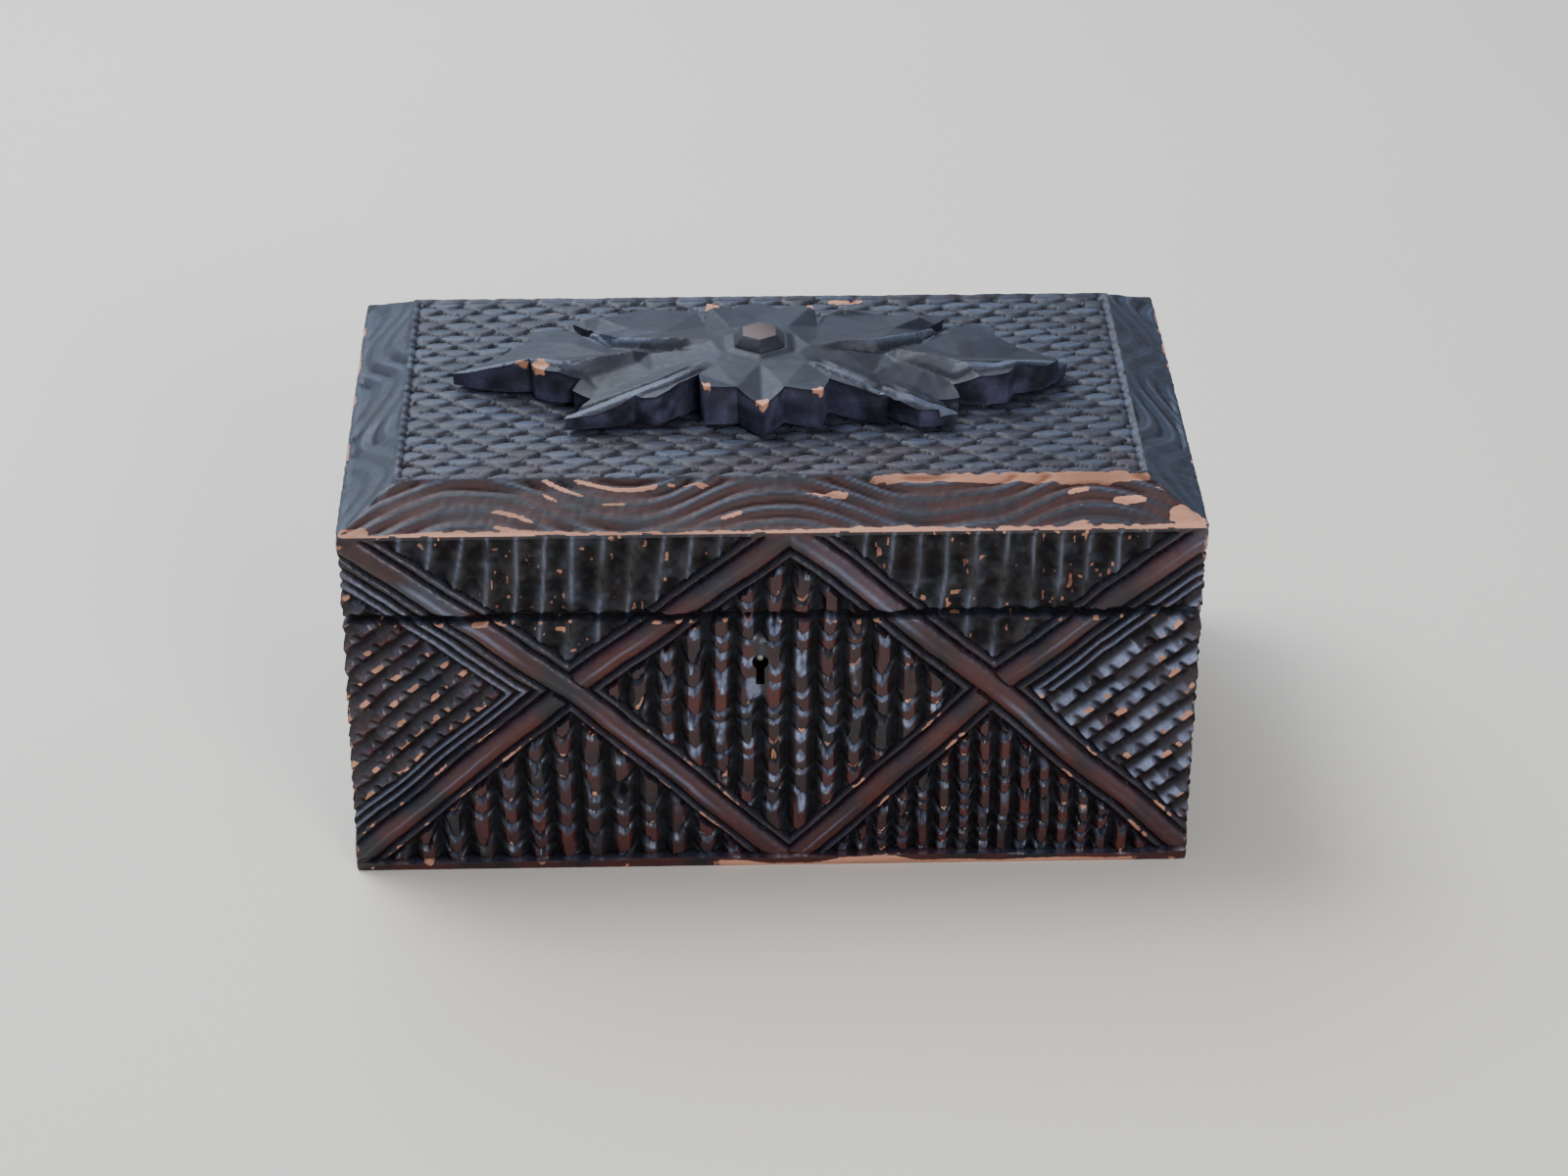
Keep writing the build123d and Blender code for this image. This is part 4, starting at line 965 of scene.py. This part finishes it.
# Raised rims on the leaves: line, half width, height, and the side of the line (1 left, -1
# right) where a groove runs beside the rim
STRIPS = [
    ([(10, -9.5), (14.5, -13.4), (22, -18.4), (27.4, -22.4)], 1.2, 0.45, 1),
    ([(26, -17.5), (31, -20.6), (37, -22.8), (43.6, -23.4)], 1.4, 0.45, 1),
    ([(31, -3), (45, -10.4), (55, -9.6), (65, -4.6), (71.5, 0.6)], 1.5, 0.45, 1),
    ([(12, -1), (26, 1.5), (36, 9.5), (42, 20.5)], 0.85, 0.28, -1),
    ([(-15, 1.5), (-27, 3.2), (-36, 9), (-43, 20)], 0.85, 0.28, 1),
    ([(-32, -3), (-47, -8), (-55, -4.6), (-66, -3), (-74.5, -0.8)], 1.4, 0.45, -1),
    ([(-13, -9.4), (-23.5, -16.8), (-31, -19.6), (-47, -23.6)], 1.5, 0.45, -1),
]


def leaf_ground(x, y):
    """Flat facets stretched between the outline and the CREASES."""
    known = list(OUTLINE)
    edges = [(i, (i + 1) % len(OUTLINE)) for i in range(len(OUTLINE))]
    for crease in CREASES:
        edges += [(len(known) + i, len(known) + i + 1) for i in range(len(crease) - 1)]
        known += crease
    flat = [Vector((p[0], p[1])) for p in known]
    result = delaunay_2d_cdt(flat, edges, [], 0, 1e-4)
    heights = [known[source[0]][2] if source else None for source in result[3]]
    xy = [tuple(v) for v in result[0]]
    z = np.full(np.shape(x), np.nan)
    for a, b, c in result[2]:
        (ax, ay), (bx, by), (cx, cy) = xy[a], xy[b], xy[c]
        area = (bx - ax) * (cy - ay) - (cx - ax) * (by - ay)
        if abs(area) < 1e-9 or None in (heights[a], heights[b], heights[c]):
            continue
        u = ((bx - x) * (cy - y) - (cx - x) * (by - y)) / area
        v = ((cx - x) * (ay - y) - (ax - x) * (cy - y)) / area
        w = 1 - u - v
        inside = (u >= -1e-6) & (v >= -1e-6) & (w >= -1e-6)
        z = np.where(inside, u * heights[a] + v * heights[b] + w * heights[c], z)
    lost = np.isnan(z)
    if lost.any():
        rim_x, rim_y, rim_z = np.array(OUTLINE).T
        away = (x[lost][:, None] - rim_x) ** 2 + (y[lost][:, None] - rim_y) ** 2
        z[lost] = rim_z[away.argmin(1)]
    return z


def from_pivot(x, y):
    return np.hypot(x - PIVOT[0], y - PIVOT[1])


def leaf_height(x, y):
    """Height of the ornament's upper surface."""
    z = leaf_ground(x, y)
    for points, half, tall, groove_side in STRIPS:
        d, place, side = line_distance(x, y, points)
        fade = ramp(0.0, 0.2, place)
        z = z + 1.6 * tall * fade * ramp(half + 0.35, half - 0.35, d)
        beside = d * side * groove_side
        z = z - 1.3 * fade * groove(beside - half - 0.7, 1.5)
    z = z + 0.05 * noise(x, y, 2.0, 31) + 0.1 * noise(x, y, 6, 32)
    # A low six-sided mound round the boss
    angle = np.arctan2(y - PIVOT[1], x - PIVOT[0])
    foot = from_pivot(x, y) * np.cos((angle + math.pi / 6) % (math.pi / 3) - math.pi / 6)
    z = np.maximum(z, LEAF_TOP - 0.42 * np.clip(foot - 6.6, 0, None))
    return np.clip(z, LEAF_BOTTOM + 1.2, LEAF_TOP)


def strip_share(x, y):
    """1 on the raised strips and 0 away from them."""
    share = np.zeros(np.shape(x))
    for points, half, _, _ in STRIPS:
        d, place, _ = line_distance(x, y, points)
        share = np.maximum(share, ramp(half + 0.2, half - 0.5, d) * ramp(0.1, 0.45, place))
    return share


def leaf_rims():
    """Closely spaced points on the ornament's outline, slightly bowed, and round its hole."""
    edge = []
    for (ax, ay, _), (bx, by, _) in zip(OUTLINE, OUTLINE[1:] + OUTLINE[:1]):
        length = math.hypot(bx - ax, by - ay)
        count = max(2, int(length / 0.7))
        bow = 0.035 * length
        for i in range(count):
            t = i / count
            swell = bow * math.sin(math.pi * t)
            x = ax + (bx - ax) * t + (by - ay) / length * swell
            y = ay + (by - ay) * t - (bx - ax) / length * swell
            edge.append((x, y))
    turns = np.linspace(0, 2 * math.pi, 48, endpoint=False)
    hole = [
        (PIVOT[0] + PEG_HOLE * math.cos(a), PIVOT[1] + PEG_HOLE * math.sin(a)) for a in turns
    ]
    return np.array(edge), np.array(hole)


def leaf_plan():
    """Plan points and triangles of the ornament, with a fine, slightly uneven grid inside."""
    edge, hole = leaf_rims()
    rim = np.vstack([edge, hole])
    gx, gy = np.arange(-76, 74, LEAF_GRID), np.arange(-30, 33, LEAF_GRID)
    gx, gy = (part.ravel() for part in np.meshgrid(gx, gy, indexing="ij"))
    gx = gx + 0.12 * noise(gx, gy, 1, 33)
    gy = gy + 0.12 * noise(gx, gy, 1, 34)
    clear = np.full(gx.shape, 1e9)
    for px, py in rim:
        clear = np.minimum(clear, (gx - px) ** 2 + (gy - py) ** 2)
    inside = np.zeros(gx.shape, bool)
    for (ax, ay), (bx, by) in zip(edge, np.roll(edge, -1, 0)):
        crosses = (ay > gy) != (by > gy)
        with np.errstate(divide="ignore", invalid="ignore"):
            at = ax + (gy - ay) * (bx - ax) / (by - ay)
        inside ^= crosses & (gx < at)
    inside &= clear > 0.45**2
    inside &= from_pivot(gx, gy) > PEG_HOLE + 0.3
    points = np.vstack([rim, np.stack([gx[inside], gy[inside]], -1)])
    n_edge, n_hole = len(edge), len(hole)
    loops = [(i, (i + 1) % n_edge) for i in range(n_edge)]
    loops += [(n_edge + i, n_edge + (i + 1) % n_hole) for i in range(n_hole)]
    flat = [Vector((float(px), float(py))) for px, py in points]
    result = delaunay_2d_cdt(flat, loops, [], 1, 1e-5)
    xy = np.array([tuple(v) for v in result[0]])
    tris = [list(f) for f in result[2]]
    return xy, [t for t in tris if from_pivot(*xy[t].mean(0)) > PEG_HOLE - 0.05]


def border_loops(tris):
    """Loops of vertices round the open edges of a sheet of triangles."""
    links = {(t[k], t[(k + 1) % 3]): True for t in tris for k in range(3)}
    left = {a: b for (a, b) in links if (b, a) not in links}
    loops = []
    while left:
        first = next(iter(left))
        loop = [first]
        while left[loop[-1]] != first:
            loop.append(left.pop(loop[-1]))
        left.pop(loop[-1])
        loops.append(loop)
    return loops


WALL_ROWS = 7


def build_leaf():
    """The ornament: its upper surface, tool-marked walls that slope inwards, and a flat foot."""
    xy, tris = leaf_plan()
    top = leaf_height(xy[:, 0], xy[:, 1])
    count = len(xy)
    verts = [(px, py, pz) for (px, py), pz in zip(xy, top)]
    faces = list(tris)
    bottom_of = {}
    for loop in border_loops(tris):
        ring = xy[loop]
        ahead = np.roll(ring, -1, 0) - np.roll(ring, 1, 0)
        ahead /= np.linalg.norm(ahead, axis=1)[:, None] + 1e-9
        inward = np.stack([-ahead[:, 1], ahead[:, 0]], -1)
        is_hole = from_pivot(*ring[0]) < PEG_HOLE + 0.1
        above = loop
        paces = np.linalg.norm(np.diff(ring, axis=0), axis=1)
        travelled = np.concatenate([[0], np.cumsum(paces)])
        for row in range(1, WALL_ROWS + 1):
            share = row / WALL_ROWS
            marks = 0.16 * noise(travelled, share * 5, 1.6, 35)
            push = 0 if is_hole else 0.12 + 0.3 * share + marks
            spot = ring + inward * np.reshape(push, (-1, 1))
            z = top[loop] * (1 - share) + LEAF_BOTTOM * share
            start = len(verts)
            verts.extend((px, py, pz) for (px, py), pz in zip(spot, z))
            here = list(range(start, start + len(loop)))
            for k in range(len(loop)):
                n = (k + 1) % len(loop)
                faces.append([above[n], above[k], here[k], here[n]])
            above = here
        bottom_of.update(zip(loop, above))
    for i in range(count):
        if i not in bottom_of:
            bottom_of[i] = len(verts)
            verts.append((xy[i][0], xy[i][1], LEAF_BOTTOM))
    faces.extend([bottom_of[t[2]], bottom_of[t[1]], bottom_of[t[0]]] for t in tris)
    made = mesh_object("leaf_ornament", np.array(verts) * MM, faces)
    set_materials(made.data, leaf_look)

    x, y, z = np.array(verts).T
    bare = np.zeros(len(x))
    ragged = 0.9 * noise(x * 1.3, y + z, 1.1, 36)
    for cx, cy, cz, radius in BARE_CORNERS:
        d = np.sqrt((x - cx) ** 2 + (y - cy) ** 2 + (z - cz) ** 2) + ragged
        bare = np.maximum(bare, ramp(radius, radius - 1.0, d))
    set_values(made.data, "worn", bare)
    upper = np.arange(len(x)) < count
    # The walls take the second, lighter blue-grey colour, patchy: painted light on the walls
    set_values(made.data, "brown", np.where(upper, 0.1, 0.6 + 0.6 * noise(x + y, z, 3, 37)))
    strips = np.where(upper, strip_share(x, y), 0)
    # Painted highlight along the raised strips
    set_values(made.data, "highlight", 0.24 * strips)
    # Painted sky reflection: on the raised strips, patchy, and stronger towards the back
    reflection_share = 0.05 + 0.6 * strips + 0.25 * noise(x * 0.5, y, 1.5, 38) + 0.35 * ramp(2, 12, y)
    set_values(made.data, "reflection_share", reflection_share)
    dress(made, 28)
    return made


put(build_leaf(), "leaf_carving", "leaf")


# ---- faceted boss on the pivot peg
BOSS_HEIGHT = 3.7 * MM


def build_boss():
    """The CAD peg, with the ridges of its head worn round."""
    source = nodes["pivot_peg"].data.copy()
    source.name = "peg_and_boss"
    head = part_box("pivot_peg")[1].z - BOSS_HEIGHT
    flat, worn = math.radians(1), 0.35 * MM
    with edited(source) as work:
        bmesh.ops.remove_doubles(work, verts=work.verts, dist=WELD)
        bmesh.ops.dissolve_limit(work, angle_limit=flat, verts=work.verts, edges=work.edges)
        on_head = [e for e in work.edges if min(v.co.z for v in e.verts) > head and e.is_manifold]
        ridges = [e for e in on_head if e.calc_face_angle(0) > math.radians(15)]
        bmesh.ops.bevel(work, geom=ridges, offset=worn, segments=2, profile=0.6, affect="EDGES")
        bmesh.ops.triangulate(work, faces=[f for f in work.faces if len(f.verts) > 4])
    set_materials(source, boss_look, boss_top_look)
    for face in source.polygons:
        face.material_index = int(face.normal.z > 0.9 and face.center.z > head)
    made = placed("peg_and_boss", source)
    set_values(source, "brown", np.ones(len(source.vertices)))
    dress(made, 24)
    return made


put(build_boss(), "pivot_peg", "leaf")

# ---- the other pieces keep their shape
LOOKS = {
    "bottom_board": under_wood,
    "peg_cross_pin": under_wood,
    "hidden_key": iron,
    "bottom_nails": iron,
    "link_plate": iron,
}
for name, node in nodes.items():
    if name.startswith("hinge_") or name.endswith("_screws"):
        look = brass
    elif name.startswith("lock_"):
        look = iron
    else:
        look = LOOKS.get(name, inner_x)
    set_materials(node.data, look)

# ---- floor, light and camera
bpy.ops.mesh.primitive_plane_add(size=6.0, location=(0, 0, 0))
floor = bpy.context.object
floor.name = "floor"
pale, pale_tree, pale_shader = new_material("pale_floor")
tone = mix(pale_tree, grain(pale_tree, 6, 2), srgb(222, 212, 198), srgb(226, 217, 204))
link(pale_tree, tone, pale_shader.inputs["Base Color"])
pale_shader.inputs["Roughness"].default_value = 0.85
set_materials(floor.data, pale)

world = bpy.data.worlds.new("soft_room")
scene.world = world
world.use_nodes = True
backdrop = world.node_tree.nodes["Background"]
backdrop.inputs["Color"].default_value = (0.72, 0.83, 1.0, 1)
backdrop.inputs["Strength"].default_value = 0.42


def softbox(name, place, target, width, height, power, colour):
    """A rectangular lamp at a place, turned to a target."""
    lamp = bpy.data.lights.new(name, "AREA")
    lamp.shape = "RECTANGLE"
    lamp.size = width
    lamp.size_y = height
    lamp.energy = power
    lamp.color = colour
    made = placed(name, lamp)
    made.location = place
    made.rotation_euler = (Vector(target) - Vector(place)).to_track_quat("-Z", "Y").to_euler()


softbox("window", (-0.5, 0.75, 0.95), (0, 0, 0.06), 1.2, 0.7, 17, (0.72, 0.85, 1.0))
softbox("ceiling", (-0.45, 0.2, 1.15), (0, 0, 0.05), 0.45, 0.45, 11, (0.92, 0.95, 1.0))
softbox("fill", (0.5, -1.2, 0.75), (0, 0, 0.05), 0.5, 0.4, 13, (0.98, 0.97, 1.0))

# The camera, at the photograph's angle
CAMERA_PLACE = (-0.0225, -0.8095, 0.5265)
yaw, pitch, roll = (math.radians(angle) for angle in (1.9, 30.88, 0.27))
forward = Vector((math.sin(yaw) * math.cos(pitch), math.cos(yaw) * math.cos(pitch), 0))
forward.z = -math.sin(pitch)
level = Vector((math.cos(yaw), -math.sin(yaw), 0))
upward = level.cross(forward)
right_axis = math.cos(roll) * level + math.sin(roll) * upward
up_axis = -math.sin(roll) * level + math.cos(roll) * upward
lens = bpy.data.cameras.new("camera")
lens.lens = 87.48
lens.sensor_width = 36.0
lens.clip_start = 0.01
camera = placed("camera", lens)
turn = Matrix((right_axis, up_axis, -forward)).transposed().to_4x4()
camera.matrix_world = Matrix.Translation(CAMERA_PLACE) @ turn
scene.camera = camera
